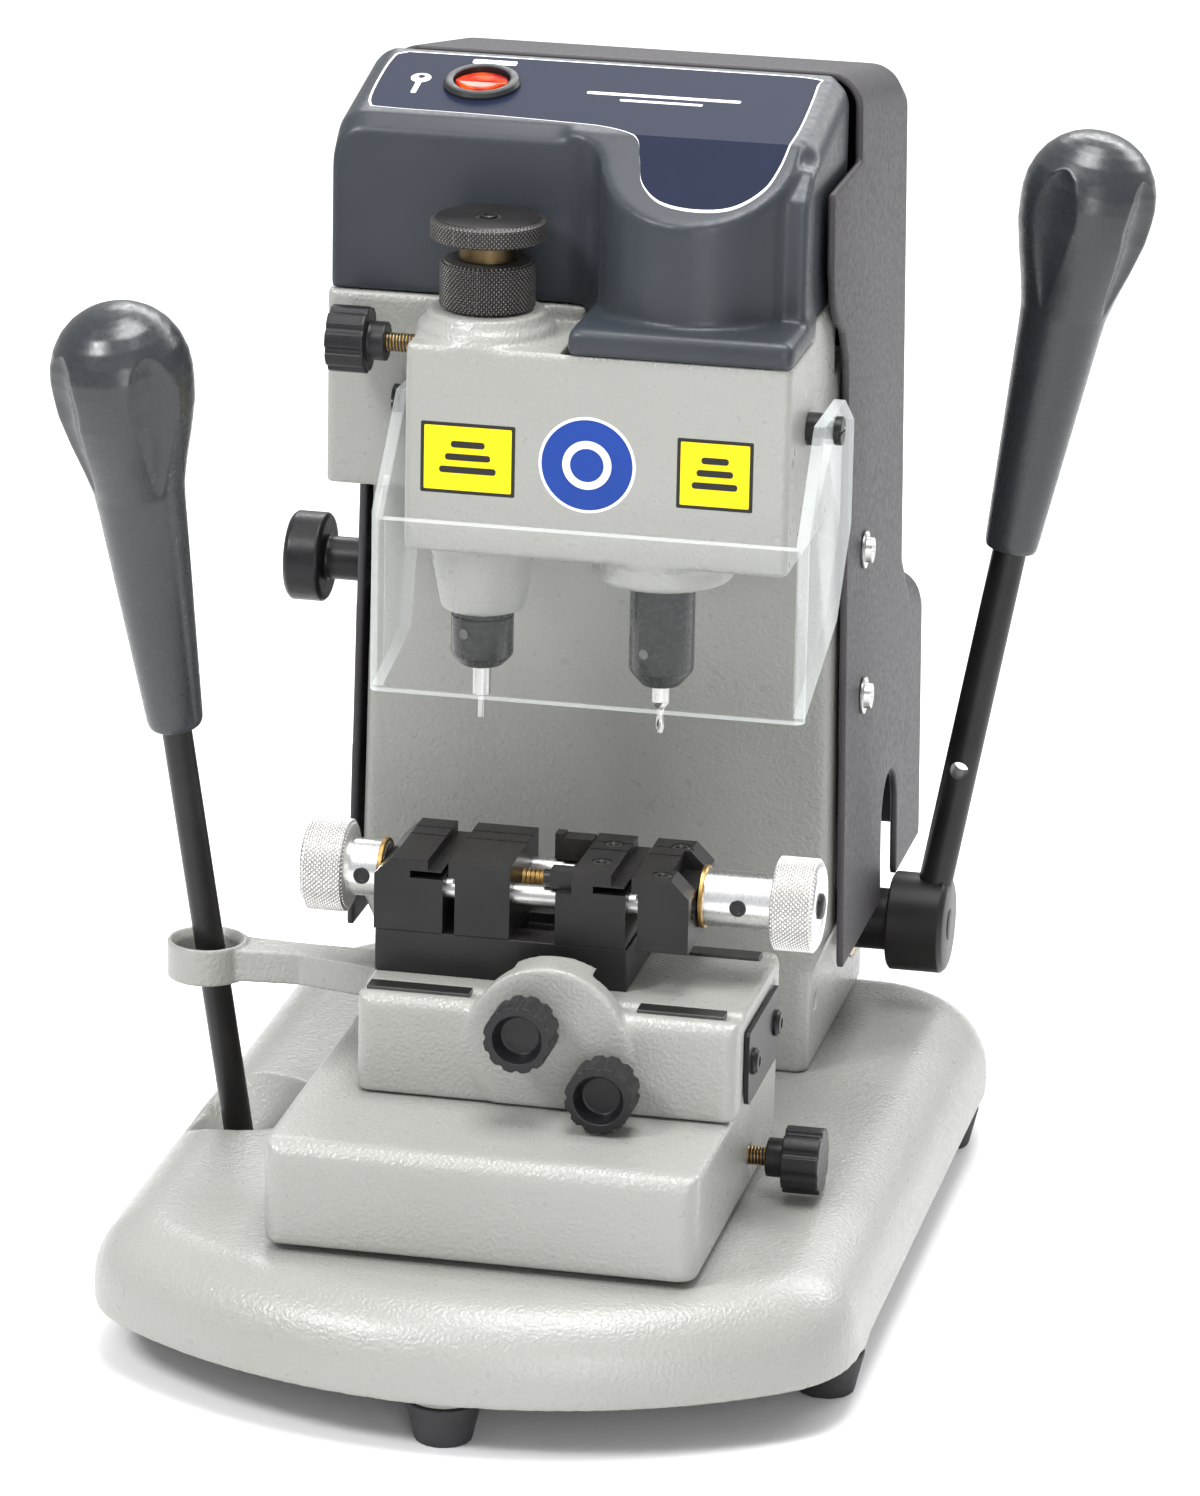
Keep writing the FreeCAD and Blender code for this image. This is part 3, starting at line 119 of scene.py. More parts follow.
# ---------------------------------------------------------------- materials
class Look:
    """A material with a principled shader and short helpers for its nodes."""

    def __init__(self, name, colour, rough, metallic=0.0):
        self.material = bpy.data.materials.new(name)
        self.material.use_nodes = True
        self.nodes = self.material.node_tree.nodes
        self.links = self.material.node_tree.links
        self.shader = self.nodes["Principled BSDF"]
        self.shader.inputs["Base Color"].default_value = (*colour, 1)
        self.shader.inputs["Roughness"].default_value = rough
        self.shader.inputs["Metallic"].default_value = metallic
        self.place = self.nodes.new("ShaderNodeTexCoord").outputs["Object"]

    def noise(self, scale, detail=2.0, stretch=None, centred=False):
        """Noise from 0 to 1, or round 0 and never clipped when centred."""
        node = self.nodes.new("ShaderNodeTexNoise")
        node.normalize = not centred
        node.inputs["Scale"].default_value = scale
        node.inputs["Detail"].default_value = detail
        source = self.place
        if stretch:
            mapping = self.nodes.new("ShaderNodeMapping")
            mapping.inputs["Scale"].default_value = stretch
            self.links.new(self.place, mapping.inputs["Vector"])
            source = mapping.outputs["Vector"]
        self.links.new(source, node.inputs["Vector"])
        return node.outputs["Fac"]

    def ramp(self, factor, low, high, start=0.3, end=0.7):
        node = self.nodes.new("ShaderNodeValToRGB")
        node.color_ramp.elements[0].color = (*low, 1)
        node.color_ramp.elements[1].color = (*high, 1)
        node.color_ramp.elements[0].position = start
        node.color_ramp.elements[1].position = end
        self.links.new(factor, node.inputs["Fac"])
        return node.outputs["Color"]

    def tint(self, factor, low, high, start=0.3, end=0.7):
        self.links.new(self.ramp(factor, low, high, start, end), self.shader.inputs["Base Color"])

    def gloss(self, factor, low, high):
        grey = self.ramp(factor, (low,) * 3, (high,) * 3)
        self.links.new(grey, self.shader.inputs["Roughness"])

    def bump(self, factor, strength, distance, before=None):
        node = self.nodes.new("ShaderNodeBump")
        node.inputs["Strength"].default_value = strength
        node.inputs["Distance"].default_value = distance
        self.links.new(factor, node.inputs["Height"])
        if before:
            self.links.new(before, node.inputs["Normal"])
        self.links.new(node.outputs["Normal"], self.shader.inputs["Normal"])
        return node.outputs["Normal"]

    def edges(self, low, high, edge_highlight):
        """Lightens the tinted colour on convex edges with a painted highlight."""
        pointed = self.nodes.new("ShaderNodeNewGeometry").outputs["Pointiness"]
        mask = self.ramp(pointed, (0, 0, 0), (1, 1, 1), low, high)
        mix = self.nodes.new("ShaderNodeMix")
        mix.data_type = "RGBA"
        plain, highlight_input, mixed = mix.inputs[6], mix.inputs[7], mix.outputs[2]      # the node's colour sockets
        base = self.shader.inputs["Base Color"]
        self.links.new(mask, mix.inputs["Factor"])
        self.links.new(base.links[0].from_socket, plain)
        # painted highlight colour laid on the convex edges
        highlight_input.default_value = (*edge_highlight, 1)
        self.links.new(mixed, base)


def grey_paint():
    """Light grey enamel with a hammered surface."""
    look = Look("hammered_grey_enamel", (0.285, 0.285, 0.265), 0.34)
    look.tint(look.noise(9, 3), (0.270, 0.271, 0.250), (0.298, 0.300, 0.280))
    first = look.bump(look.noise(760, 1.2, centred=True), 0.45, 0.00025)
    look.bump(look.noise(2100, 1, centred=True), 0.15, 0.0001, first)
    look.gloss(look.noise(240, 2), 0.27, 0.38)
    look.shader.inputs["Coat Weight"].default_value = 0.12
    look.shader.inputs["Coat Roughness"].default_value = 0.2
    return look.material


def moulded(name, dark, light, rough, grain=0.12, specular=0.4):
    """Smooth finish in one tone, slightly mottled, with a fine grain and a painted highlight on its edges."""
    look = Look(name, light, rough)
    look.shader.inputs["Specular IOR Level"].default_value = specular
    look.tint(look.noise(14, 3), dark, light)
    look.gloss(look.noise(500, 2), rough - 0.05, rough + 0.07)
    look.bump(look.noise(2400, 1), grain, 0.0001)
    # painted highlight: the edges are lightened to half again the light tone
    look.edges(0.52, 0.60, tuple(c * 1.5 + 0.01 for c in light))
    return look.material


def black_steel():
    look = Look("blackened_steel", (0.012, 0.012, 0.012), 0.36)
    look.shader.inputs["Specular IOR Level"].default_value = 0.30
    look.tint(look.noise(60, 4), (0.007, 0.0065, 0.0065), (0.014, 0.013, 0.013))
    look.gloss(look.noise(900, 2, (1, 12, 12)), 0.30, 0.46)
    look.bump(look.noise(1500, 2, (1, 14, 14)), 0.02, 0.0001)
    return look.material


def bright_metal(name, dark, light, low, high, stretch=(1, 1, 30)):
    look = Look(name, light, low, 1.0)
    look.tint(look.noise(40, 4), dark, light)
    streaks = look.noise(700, 3, stretch)
    look.gloss(streaks, low, high)
    look.bump(streaks, 0.02, 0.0001)
    return look.material


def knurled_metal(name, valley_shade, peak_highlight, rough, metallic):
    """Finish for diamond knurling: painted shade in the grooves and a painted highlight on the points."""
    look = Look(name, peak_highlight, rough, metallic)
    pointed = look.nodes.new("ShaderNodeNewGeometry").outputs["Pointiness"]
    # painted shade in the grooves and painted highlight on the points, both read from pointiness
    look.tint(pointed, valley_shade, peak_highlight, 0.44, 0.56)
    look.bump(look.noise(1500, 2), 0.05, 0.0001)
    return look.material


def clear_plastic(name, face_on, edge_on, tone):
    """Clear sheet: nearly unseen face on, and a painted reflection that makes it milkier where it is seen
    edge on.
    """
    look = Look(name, tone, 0.06)
    facing = look.nodes.new("ShaderNodeLayerWeight")
    facing.inputs["Blend"].default_value = 0.5
    # painted reflection: the pale tone grows more opaque the more the sheet is seen edge on
    grazing_reflection = look.ramp(facing.outputs["Facing"], (face_on,) * 3, (edge_on,) * 3, 0.15, 0.95)
    look.links.new(grazing_reflection, look.shader.inputs["Alpha"])
    look.gloss(look.noise(30, 3), 0.02, 0.08)
    return look.material


def glowing_red():
    look = Look("lit_red_lens", (0.65, 0.03, 0.01), 0.18)
    look.tint(look.noise(160, 2), (0.16, 0.004, 0.002), (0.50, 0.03, 0.006), 0.35, 0.65)
    glow = look.ramp(look.noise(110, 2), (0.25, 0.0, 0.0), (1.0, 0.16, 0.01), 0.42, 0.62)
    look.links.new(glow, look.shader.inputs["Emission Color"])
    look.shader.inputs["Emission Strength"].default_value = 0.55
    look.shader.inputs["Specular IOR Level"].default_value = 0.25
    return look.material


def printed(name, colour, rough=0.35, specular=0.3):
    """Printed sheet in one plain colour."""
    look = Look(name, colour, rough)
    look.shader.inputs["Specular IOR Level"].default_value = specular
    look.tint(look.noise(80, 2), tuple(c * 0.93 for c in colour), colour)
    look.bump(look.noise(900, 1), 0.04, 0.0001)
    return look.material


def rubber():
    look = Look("foot_rubber", (0.018, 0.018, 0.019), 0.75)
    look.tint(look.noise(50, 3), (0.012, 0.012, 0.013), (0.03, 0.03, 0.032))
    look.bump(look.noise(900, 3), 0.2, 0.0002)
    return look.material


def lamp_glow():
    look = Look("work_light", (0.95, 0.97, 1.0), 0.4)
    look.bump(look.noise(300, 1), 0.05, 0.0001)
    look.shader.inputs["Emission Color"].default_value = (0.93, 0.97, 1.0, 1)
    look.shader.inputs["Emission Strength"].default_value = 6.0
    return look.material


PAINT = grey_paint()
HEAD_PLASTIC = moulded("head_cover_plastic", (0.026, 0.030, 0.037), (0.033, 0.039, 0.047), 0.36, specular=0.3)
COVER_PLASTIC = moulded("back_cover_plastic", (0.033, 0.031, 0.034), (0.041, 0.038, 0.042), 0.46, 0.10, 0.2)
GRIP_PLASTIC = moulded("grip_plastic", (0.019, 0.022, 0.026), (0.026, 0.029, 0.034), 0.30, 0.10, 0.55)
BLACK_PLASTIC = moulded("black_plastic", (0.007, 0.007, 0.008), (0.012, 0.012, 0.013), 0.36, 0.12, 0.3)
BLACK_STEEL = black_steel()
POLISHED_BLACK = moulded("polished_black_steel", (0.005,) * 3, (0.008,) * 3, 0.25, 0.0, 0.25)
STEEL = bright_metal("ground_steel", (0.42, 0.42, 0.41), (0.58, 0.58, 0.57), 0.22, 0.38)
ALUMINIUM = bright_metal("turned_aluminium", (0.68, 0.68, 0.68), (0.82, 0.82, 0.82), 0.20, 0.34, (30, 1, 1))
BRASS = bright_metal("turned_brass", (0.34, 0.21, 0.07), (0.54, 0.36, 0.13), 0.25, 0.4, (30, 1, 1))
# painted shade: a darkened copy of the brass for the sleeve that sits shaded under the tracer disc
SHADED_BRASS = bright_metal("brass_painted_shade", (0.07, 0.05, 0.025), (0.14, 0.10, 0.05), 0.35, 0.5, (1, 1, 30))
KNURLED_ALUMINIUM = knurled_metal("knurled_aluminium", (0.30, 0.29, 0.28), (0.90, 0.89, 0.87), 0.30, 0.75)
KNURLED_STEEL = knurled_metal("knurled_black_steel", (0.004, 0.004, 0.005), (0.10, 0.095, 0.09), 0.34, 0.5)
DARK_STEEL = bright_metal("dark_ground_steel", (0.10,) * 3, (0.17, 0.17, 0.165), 0.28, 0.42, (1, 30, 30))
CLEAR = clear_plastic("clear_sheet", 0.018, 0.30, (0.80, 0.85, 0.84))
CLEAR_EDGE = clear_plastic("clear_sheet_edge", 0.20, 0.45, (0.88, 0.93, 0.92))
RED = glowing_red()
RUBBER = rubber()
NAVY = printed("navy_panel", (0.010, 0.014, 0.032), 0.45, 0.05)
WHITE = printed("white_print", (0.82, 0.82, 0.82))
YELLOW = printed("yellow_print", (0.92, 0.68, 0.0))
BLACK_INK = printed("black_print", (0.012, 0.012, 0.012))
BLUE = printed("blue_print", (0.004, 0.04, 0.26))
GLOW = lamp_glow()

SLOT_LOOKS = {
    "grey_paint": PAINT, "cover_plastic": COVER_PLASTIC, "head_plastic": HEAD_PLASTIC,
    "grip_plastic": GRIP_PLASTIC, "black_plastic": BLACK_PLASTIC, "black_steel": BLACK_STEEL,
    "bright_steel": STEEL, "turned_aluminium": ALUMINIUM, "brass": BRASS, "clear_plastic": CLEAR,
    "red_lens": RED, "rubber": RUBBER, "cast_alloy": STEEL, "motor_enamel": BLACK_PLASTIC,
}
NODE_SLOT = {part["node"]: part["material_slot"] for part in frame["record"]["subparts"]}
NODE_BODY = {node: body for body, nodes in frame["record"]["behaviour"]["bodies"].items() for node in nodes}


def finish_cad_nodes():
    for name, piece in frame["nodes"].items():
        # the adjuster sleeve takes the brass darkened with painted shade
        look = SHADED_BRASS if name == "adjuster_sleeve" else SLOT_LOOKS[NODE_SLOT[name]]
        if not piece.material_slots:
            piece.data.materials.append(look)
        for slot in piece.material_slots:
            slot.material = look


# ---------------------------------------------------------------- piece making
def new_piece(name, mesh, body, look, smooth=True):
    piece = bpy.data.objects.new(name, mesh)
    SCENE.collection.objects.link(piece)
    mesh.materials.clear()
    mesh.materials.append(look)
    mesh.polygons.foreach_set("use_smooth", [smooth] * len(mesh.polygons))
    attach(piece, body)
    return piece


def applied(piece):
    """Replaces the piece's mesh with what its modifiers make of it."""
    graph = bpy.context.evaluated_depsgraph_get()
    mesh = bpy.data.meshes.new_from_object(piece.evaluated_get(graph))
    piece.modifiers.clear()
    piece.data = mesh
    return mesh


def copy_of(node):
    """A second, welded copy of a CAD node's mesh, to be worked on."""
    mesh = frame["nodes"][node].data.copy()
    work = bmesh.new()
    work.from_mesh(mesh)
    bmesh.ops.remove_doubles(work, verts=work.verts, dist=1e-6)
    work.to_mesh(mesh)
    work.free()
    piece = bpy.data.objects.new(node + "_work", mesh)
    SCENE.collection.objects.link(piece)
    return piece


def dress(piece, node):
    """Gives the piece its CAD node's look, body and slot, and stands it in for that node."""
    look = SLOT_LOOKS[NODE_SLOT[node]]
    mesh = piece.data
    mesh.materials.clear()
    mesh.materials.append(look)
    piece.name = node + "_skin"
    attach(piece, NODE_BODY[node])
    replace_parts(piece, node)
    return piece


def softened(node, voxel, passes):
    """A casting or moulding with every edge rounded: remeshed finely, then relaxed."""
    piece = copy_of(node)
    remesh = piece.modifiers.new("remesh", "REMESH")
    remesh.mode = "VOXEL"
    remesh.voxel_size = voxel * MM
    relax = piece.modifiers.new("relax", "SMOOTH")
    relax.factor = 0.5
    relax.iterations = passes
    mesh = applied(piece)
    mesh.polygons.foreach_set("use_smooth", [True] * len(mesh.polygons))
    return dress(piece, node)


def bevelled(node, width, smooth=True):
    """A machined piece with small, even chamfers that catch the light."""
    piece = copy_of(node)
    work = bmesh.new()
    work.from_mesh(piece.data)
    bmesh.ops.dissolve_limit(work, angle_limit=math.radians(1.0), verts=work.verts, edges=work.edges)
    work.to_mesh(piece.data)
    work.free()
    bevel = piece.modifiers.new("bevel", "BEVEL")
    bevel.width = width * MM
    bevel.segments = 2
    bevel.limit_method = "ANGLE"
    bevel.angle_limit = math.radians(32)
    mesh = applied(piece)
    mesh.polygons.foreach_set("use_smooth", [smooth] * len(mesh.polygons))
    if smooth:
        mesh.set_sharp_from_angle(angle=math.radians(19))
    return dress(piece, node)


def mesh_from(work, name):
    """Mesh of a finished bmesh, with its faces turned outwards."""
    bmesh.ops.recalc_face_normals(work, faces=work.faces)
    mesh = bpy.data.meshes.new(name)
    work.to_mesh(mesh)
    work.free()
    return mesh


def to_axis(axis):
    """Rotation that lays the upright direction along an axis."""
    return Vector(UP).rotation_difference(Vector(axis).normalized()).to_matrix()


def ring(start, turn, height, radii):
    """Ring of scene points at a height in mm along the turned axis, with one radius per point."""
    points = []
    for i, radius in enumerate(radii):
        a = 2 * math.pi * i / len(radii)
        points.append(start + turn @ (Vector((radius * math.cos(a), radius * math.sin(a), height)) * MM))
    return points


def ring_mesh(name, rings):
    """Closed surface through rings of points, with a flat face at each end."""
    work = bmesh.new()
    loops = [[work.verts.new(point) for point in points] for points in rings]
    for low, high in zip(loops, loops[1:]):
        for i in range(len(low)):
            k = (i + 1) % len(low)
            work.faces.new((low[i], low[k], high[k], high[i]))
    work.faces.new(loops[0][::-1])
    work.faces.new(loops[-1])
    return mesh_from(work, name)


def lathe_mesh(name, radius_at, length, around, along, origin, axis):
    """Closed surface round an axis; radius_at(angle, t) gives its radius in mm, t from 0 to 1."""
    start, turn = at(*origin), to_axis(axis)
    angles = [2 * math.pi * i / around for i in range(around)]
    rings = []
    for j in range(along + 1):
        t = j / along
        rings.append(ring(start, turn, t * length, [radius_at(a, t) for a in angles]))
    return ring_mesh(name, rings)


def turned(name, profile, origin, axis, body, look, around=96):
    """Turned piece from (height, radius) points in mm, with crisp corners."""
    start, turn = at(*origin), to_axis(axis)
    mesh = ring_mesh(name, [ring(start, turn, h, [r] * around) for h, r in profile])
    piece = new_piece(name, mesh, body, look)
    mesh.set_sharp_from_angle(angle=math.radians(35))
    return piece


def black_turned(name, profile, origin, axis, body, look=BLACK_STEEL, around=96):
    """Turned piece of blackened steel."""
    return turned(name, profile, origin, axis, body, look, around)


def triangle_wave(x):
    return 1 - abs(2 * (x % 1.0) - 1)


def knurl(radius, depth, count, rows, edge):
    """Radius function of a diamond knurl with bevelled ends."""
    def radius_at(angle, t):
        u = count * angle / (2 * math.pi)
        v = rows * t
        height = min(triangle_wave(u + v), triangle_wave(u - v))
        rim = min(1.0, min(t, 1 - t) / edge)
        return radius - depth * (1 - height) - KNURL_BEVEL * (1 - rim)
    return radius_at


# ---------------------------------------------------------------- grips and levers
def grip_radius(h):
    """Outline of the handle: a plain cone that flares into a ball."""
    for (h0, r0), (h1, r1) in zip(GRIP_OUTLINE, GRIP_OUTLINE[1:]):
        if h <= h1:
            return r0 + (r1 - r0) * (h - h0) / (h1 - h0)
    return GRIP_OUTLINE[-1][1]


def scoop_half_width(h):
    """Half width of a finger scoop: pointed at the bottom, arched at the top."""
    if h <= SCOOP_LOW or h >= SCOOP_HIGH:
        return 0.0
    if h < SCOOP_WIDE:
        return SCOOP_HALF_WIDTH * ((h - SCOOP_LOW) / (SCOOP_WIDE - SCOOP_LOW)) ** 0.75
    return SCOOP_HALF_WIDTH * math.sqrt(1 - ((h - SCOOP_WIDE) / (SCOOP_HIGH - SCOOP_WIDE)) ** 2)


def grip_radii(h, turn_angle, around=256):
    """Radii round the handle at a height, with the four finger scoops sunk in."""
    r, half = grip_radius(h), scoop_half_width(h)
    radii = []
    for i in range(around):
        swing = (2 * math.pi * i / around - turn_angle + math.pi / 4) % (math.pi / 2) - math.pi / 4
        depth = 0.0
        if half > 0:
            share = min(1.0, abs(swing) * r / half)
            depth = SCOOP_DEPTH * half / SCOOP_HALF_WIDTH * (1 - share ** 2)
        radii.append(r - depth)
    return radii


def grip(name, node, start, axis, turn_angle, along=260):
    """Ball-topped handle; its rings lie closer together towards the top."""
    turn = to_axis(axis)
    rings = []
    for j in range(along + 1):
        h = GRIP_LENGTH * (1 - (1 - j / along) ** 1.4)
        rings.append(ring(start, turn, h, grip_radii(h, turn_angle)))
    piece = new_piece(name, ring_mesh(name, rings), NODE_BODY[node], GRIP_PLASTIC)
    relax = piece.modifiers.new("relax", "SMOOTH")
    relax.iterations = 10
    mesh = applied(piece)
    mesh.polygons.foreach_set("use_smooth", [True] * len(mesh.polygons))
    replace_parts(piece, node)


def levers():
    grip("right_grip_handle", "right_grip", at(*(RIGHT_FOOT + RIGHT_AXIS * RIGHT_GRIP_START)), RIGHT_AXIS,
         math.radians(-24))
    grip("left_grip_handle", "left_grip", at(*(STICK_PIVOT + STICK_AXIS * LEFT_GRIP_START)), STICK_AXIS,
         math.radians(-48))
    bar = black_turned("left_lever_bar", [(6, 5.0), (268, 5.0)], STICK_PIVOT, STICK_AXIS, "stick")
    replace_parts(bar, "stick_rod")
    hub = black_turned("lever_hub_turned", [(0, 16.6), (0.8, 17.5), (18.6, 17.5), (20.0, 16.2), (20.5, 15.0)],
                       (HUB_X, SHAFT_Y, SHAFT_Z), (1, 0, 0), "feed_lever")
    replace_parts(hub, "lever_hub")
    black_turned("hub_end_face", [(0, 5.5), (0.25, 5.5), (0.5, 4.9)], (HUB_X + 20.5, SHAFT_Y, SHAFT_Z),
                 (1, 0, 0), "feed_lever")


# ---------------------------------------------------------------- knurled pieces
def clamp_knob(side, x0, sleeve, body, node):
    """Knurled knob on a plain sleeve; side is the direction it points in, from x0 outwards."""
    axis = (side, 0, 0)
    rim_start = (x0 + side * sleeve, CLAMP_Y, CLAMP_Z)
    rim_end = (x0 + side * (sleeve + KNOB_WIDTH), CLAMP_Y, CLAMP_Z)
    diamonds = knurl(15.6, 0.85, 60, 8.7, 0.06)
    mesh = lathe_mesh(node + "_knurl", diamonds, KNOB_WIDTH, 600, 100, rim_start, axis)
    rim = new_piece(node + "_rim", mesh, body, KNURLED_ALUMINIUM)
    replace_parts(rim, node)
    turned(node + "_sleeve", [(0, 8.8), (0.6, 9.5), (sleeve, 9.5)], (x0, CLAMP_Y, CLAMP_Z), axis, body,
           ALUMINIUM)
    turned(node + "_washer", [(0, 10.2), (0.3, 10.5), (1.4, 10.5), (1.7, 10.2)],
           (x0 + side * 0.2, CLAMP_Y, CLAMP_Z), axis, body, BRASS)
    turned(node + "_face", [(0, 13.6), (0.4, 13.2), (0.4, 9.0), (0.1, 8.6), (0.1, 6.0)], rim_end, axis, body,
           ALUMINIUM)
    black_turned(node + "_end_cap", [(-2, 4.3), (0.9, 4.3), (1.6, 3.4), (1.8, 1.8)], rim_end, axis, body)
    black_turned(node + "_grub_screw", [(0, 2.8), (0.7, 2.8), (0.7, 1.7), (0.55, 1.5)],
                 (x0 + side * sleeve * 0.55, CLAMP_Y - 9.0, CLAMP_Z), (0, -1, 0), body, around=32)


def clamp_knobs():
    clamp_knob(-1, -46.3, 12.5, "left_knob", "left_clamp_knob")
    clamp_knob(1, 59.3, 24.7, "right_knob", "right_clamp_knob")


def threaded(name, start, length, radius, pitch, body):
    """Length of screw thread along the width of the machine."""
    def radius_at(angle, t):
        return radius - THREAD_DEPTH * (1 - triangle_wave(t * length / pitch - angle / (2 * math.pi)))
    mesh = lathe_mesh(name, radius_at, length, 48, int(length / pitch * 10), start, (1, 0, 0))
    return new_piece(name, mesh, body, BRASS)


def screws_with_threads():
    left = threaded("left_feed_thread", (-45.5, CLAMP_Y, CLAMP_Z), 55, 4.4, 1.5, "left_knob")
    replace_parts(left, "left_draw_screw")
    right = threaded("right_feed_thread", (12.5, CLAMP_Y, CLAMP_Z), 68, 4.4, 1.5, "x_carriage")
    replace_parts(right, "right_clamp_stud")
    threaded("height_thread", (-62, TOOL_Y, 313), 12.6, 3.25, 1.1, "tracer_lock")
    threaded("base_lock_thread", (78, -115, 61), 8, 3.25, 1.1, "y_lock")


def tracer_adjuster():
    """Knurled nut with a wider knurled disc above it, and the screw in the disc's top."""
    nut_foot = (TRACER_X, TOOL_Y, 327.3)
    disc_foot = (TRACER_X, TOOL_Y, 350.3)
    disc_top = (TRACER_X, TOOL_Y, 357.2)
    mesh = lathe_mesh("tracer_nut_knurl", knurl(16.0, 0.8, 60, 9.6, 0.06), 16.2, 600, 110, nut_foot, UP)
    nut = new_piece("tracer_nut_rim", mesh, "tracer_nut_body", KNURLED_STEEL)
    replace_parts(nut, "tracer_nut")
    mesh = lathe_mesh("tracer_disc_knurl", knurl(19.25, 0.6, 76, 4.4, 0.12), 7.0, 608, 60, disc_foot, UP)
    disc = new_piece("tracer_disc_rim", mesh, "tracer_disc_body", KNURLED_STEEL)
    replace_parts(disc, "tracer_disc")
    black_turned("tracer_disc_face", [(0, 17.6), (0.35, 17.2), (0.35, 4.6), (-0.3, 4.2), (-0.3, 3.3)],
                 disc_top, UP, "tracer_disc_body")
    black_turned("tracer_disc_screw", [(-0.4, 3.0), (0.8, 3.0), (1.1, 2.6), (1.1, 1.5), (0.2, 1.3)],
                 disc_top, UP, "tracer_disc_body", around=48)


# ---------------------------------------------------------------- tools
def fluted(angle, t):
    """Radius of the cutter: a twisted two-flute tip, a cone, then a plain shank."""
    if t > 0.40:
        return SHANK_RADIUS
    reach = 1.4 if t < 0.30 else 1.4 + (t - 0.30) / 0.10 * 1.6
    wave = triangle_wave((angle / (2 * math.pi) - t * 2.2) * 2)
    return reach * (0.62 + 0.38 * min(1.0, 1.7 * wave))


def cutter():
    profile = [(0, 6.6), (0.6, 7.2), (4.6, 10.5), (5.6, 10.85), (36.0, 10.85), (36.6, 10.3)]
    collet = black_turned("cutter_collet_turned", profile, (CUTTER_X, TOOL_Y, 203), UP, "cutter_spindle",
                          POLISHED_BLACK)
    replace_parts(collet, "cutter_collet")
    mesh = lathe_mesh("cutter_flutes", fluted, 27.0, 48, 130, (CUTTER_X, TOOL_Y, TOOL_TIP_Z), UP)
    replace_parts(new_piece("cutter_bit", mesh, "cutter_spindle", STEEL), "cutter")


def tracer():
    """Collet with a narrow neck that clears the nose of the head, and the stepped point in it."""
    profile = [(0, 6.8), (0.5, 7.5), (3.2, 10.1), (4.0, 10.45), (17.0, 10.45), (17.4, 9.9), (20.2, 9.9)]
    collet = black_turned("tracer_collet_turned", profile, (TRACER_X, TOOL_Y, 205), UP, "tracer",
                          POLISHED_BLACK)
    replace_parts(collet, "tracer_collet")
    profile = [(0, 0.8), (0.3, 1.1), (7.6, 1.1), (8.1, 2.4), (8.6, SHANK_RADIUS), (30, SHANK_RADIUS)]
    point = turned("tracer_stylus", profile, (TRACER_X, TOOL_Y, TOOL_TIP_Z), UP, "tracer",
                   STEEL, 48)
    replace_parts(point, "tracer_point")


def collet_screws():
    for x, z, body in ((CUTTER_X, 215.4, "cutter_spindle"), (TRACER_X, 217.4, "tracer")):
        black_turned("collet_grub_" + body, [(0, 1.7), (0.15, 1.7), (0.15, 1.0), (-0.4, 0.9)],
                     (x - 4, TOOL_Y - 10.1, z), (-0.35, -1, 0), body, DARK_STEEL, 24)


# ---------------------------------------------------------------- flat graphics
def plate(name, points, lift, normal, body, look):
    """Thin sheet: closed outline of scene points, raised along its normal."""
    work = bmesh.new()
    up = Vector(normal).normalized() * lift * MM
    low = [work.verts.new(p) for p in points]
    high = [work.verts.new(p + up) for p in points]
    work.faces.new(low[::-1])
    work.faces.new(high)
    count = len(points)
    for i in range(count):
        k = (i + 1) % count
        work.faces.new((low[i], low[k], high[k], high[i]))
    return new_piece(name, mesh_from(work, name), body, look, smooth=False)


def on_front(name, outline, layer, look):
    """Printed layer on the head's front; a higher layer lies over a lower one."""
    y = HEAD_FRONT + 0.25 - 0.14 * layer
    points = [at(x, y, z) for x, z in outline]
    return plate(name, points, 0.16, (0, -1, 0), "head", look)


def rectangle(x0, x1, z0, z1, corner=1.0, steps=5):
    outline = []
    for cx, cz, start in ((x1 - corner, z1 - corner, 0), (x0 + corner, z1 - corner, 90),
                          (x0 + corner, z0 + corner, 180), (x1 - corner, z0 + corner, 270)):
        for i in range(steps + 1):
            a = math.radians(start + 90 * i / steps)
            outline.append((cx + corner * math.cos(a), cz + corner * math.sin(a)))
    return outline


def circle(cx, cz, r, steps=64):
    outline = []
    for i in range(steps):
        a = 2 * math.pi * i / steps
        outline.append((cx + r * math.cos(a), cz + r * math.sin(a)))
    return outline


def yellow_label(tag, x0, x1, z0, z1):
    """Yellow field with a black border and three plain bars, each shorter than the one below."""
    on_front(tag + "_label_border", rectangle(x0, x1, z0, z1, 0.6), 1, BLACK_INK)
    on_front(tag + "_label_field", rectangle(x0 + 1.2, x1 - 1.2, z0 + 1.2, z1 - 1.2, 0.4), 2, YELLOW)
    middle = (x0 + x1) / 2
    for i, share in enumerate((0.34, 0.52, 0.70)):
        reach = (x1 - x0) * (0.30 - 0.06 * i)
        z = z0 + (z1 - z0) * share
        bar = rectangle(middle - reach, middle + reach, z - 1.1, z + 1.1, 1.0)
        on_front("%s_label_bar_%d" % (tag, i), bar, 3, BLACK_INK)


def front_labels():
    yellow_label("wide", -43.7, -12.0, 269.6, 293.6)
    yellow_label("square", 42.0, 67.3, 270.6, 294.2)
    for layer, (part, radius, look) in enumerate((("edge", 16.2, WHITE), ("field", 15.2, BLUE),
                                                  ("ring", 8.2, WHITE), ("core", 5.6, BLUE)), 1):
        on_front("round_label_" + part, circle(*ROUND_LABEL, radius), layer, look)


def lid_height(y):
    if y > CREASE_Y:
        return CREASE_Z + (y - CREASE_Y) * LID_SLOPE
    return CREASE_Z + (y - CREASE_Y) * TOWER_SLOPE


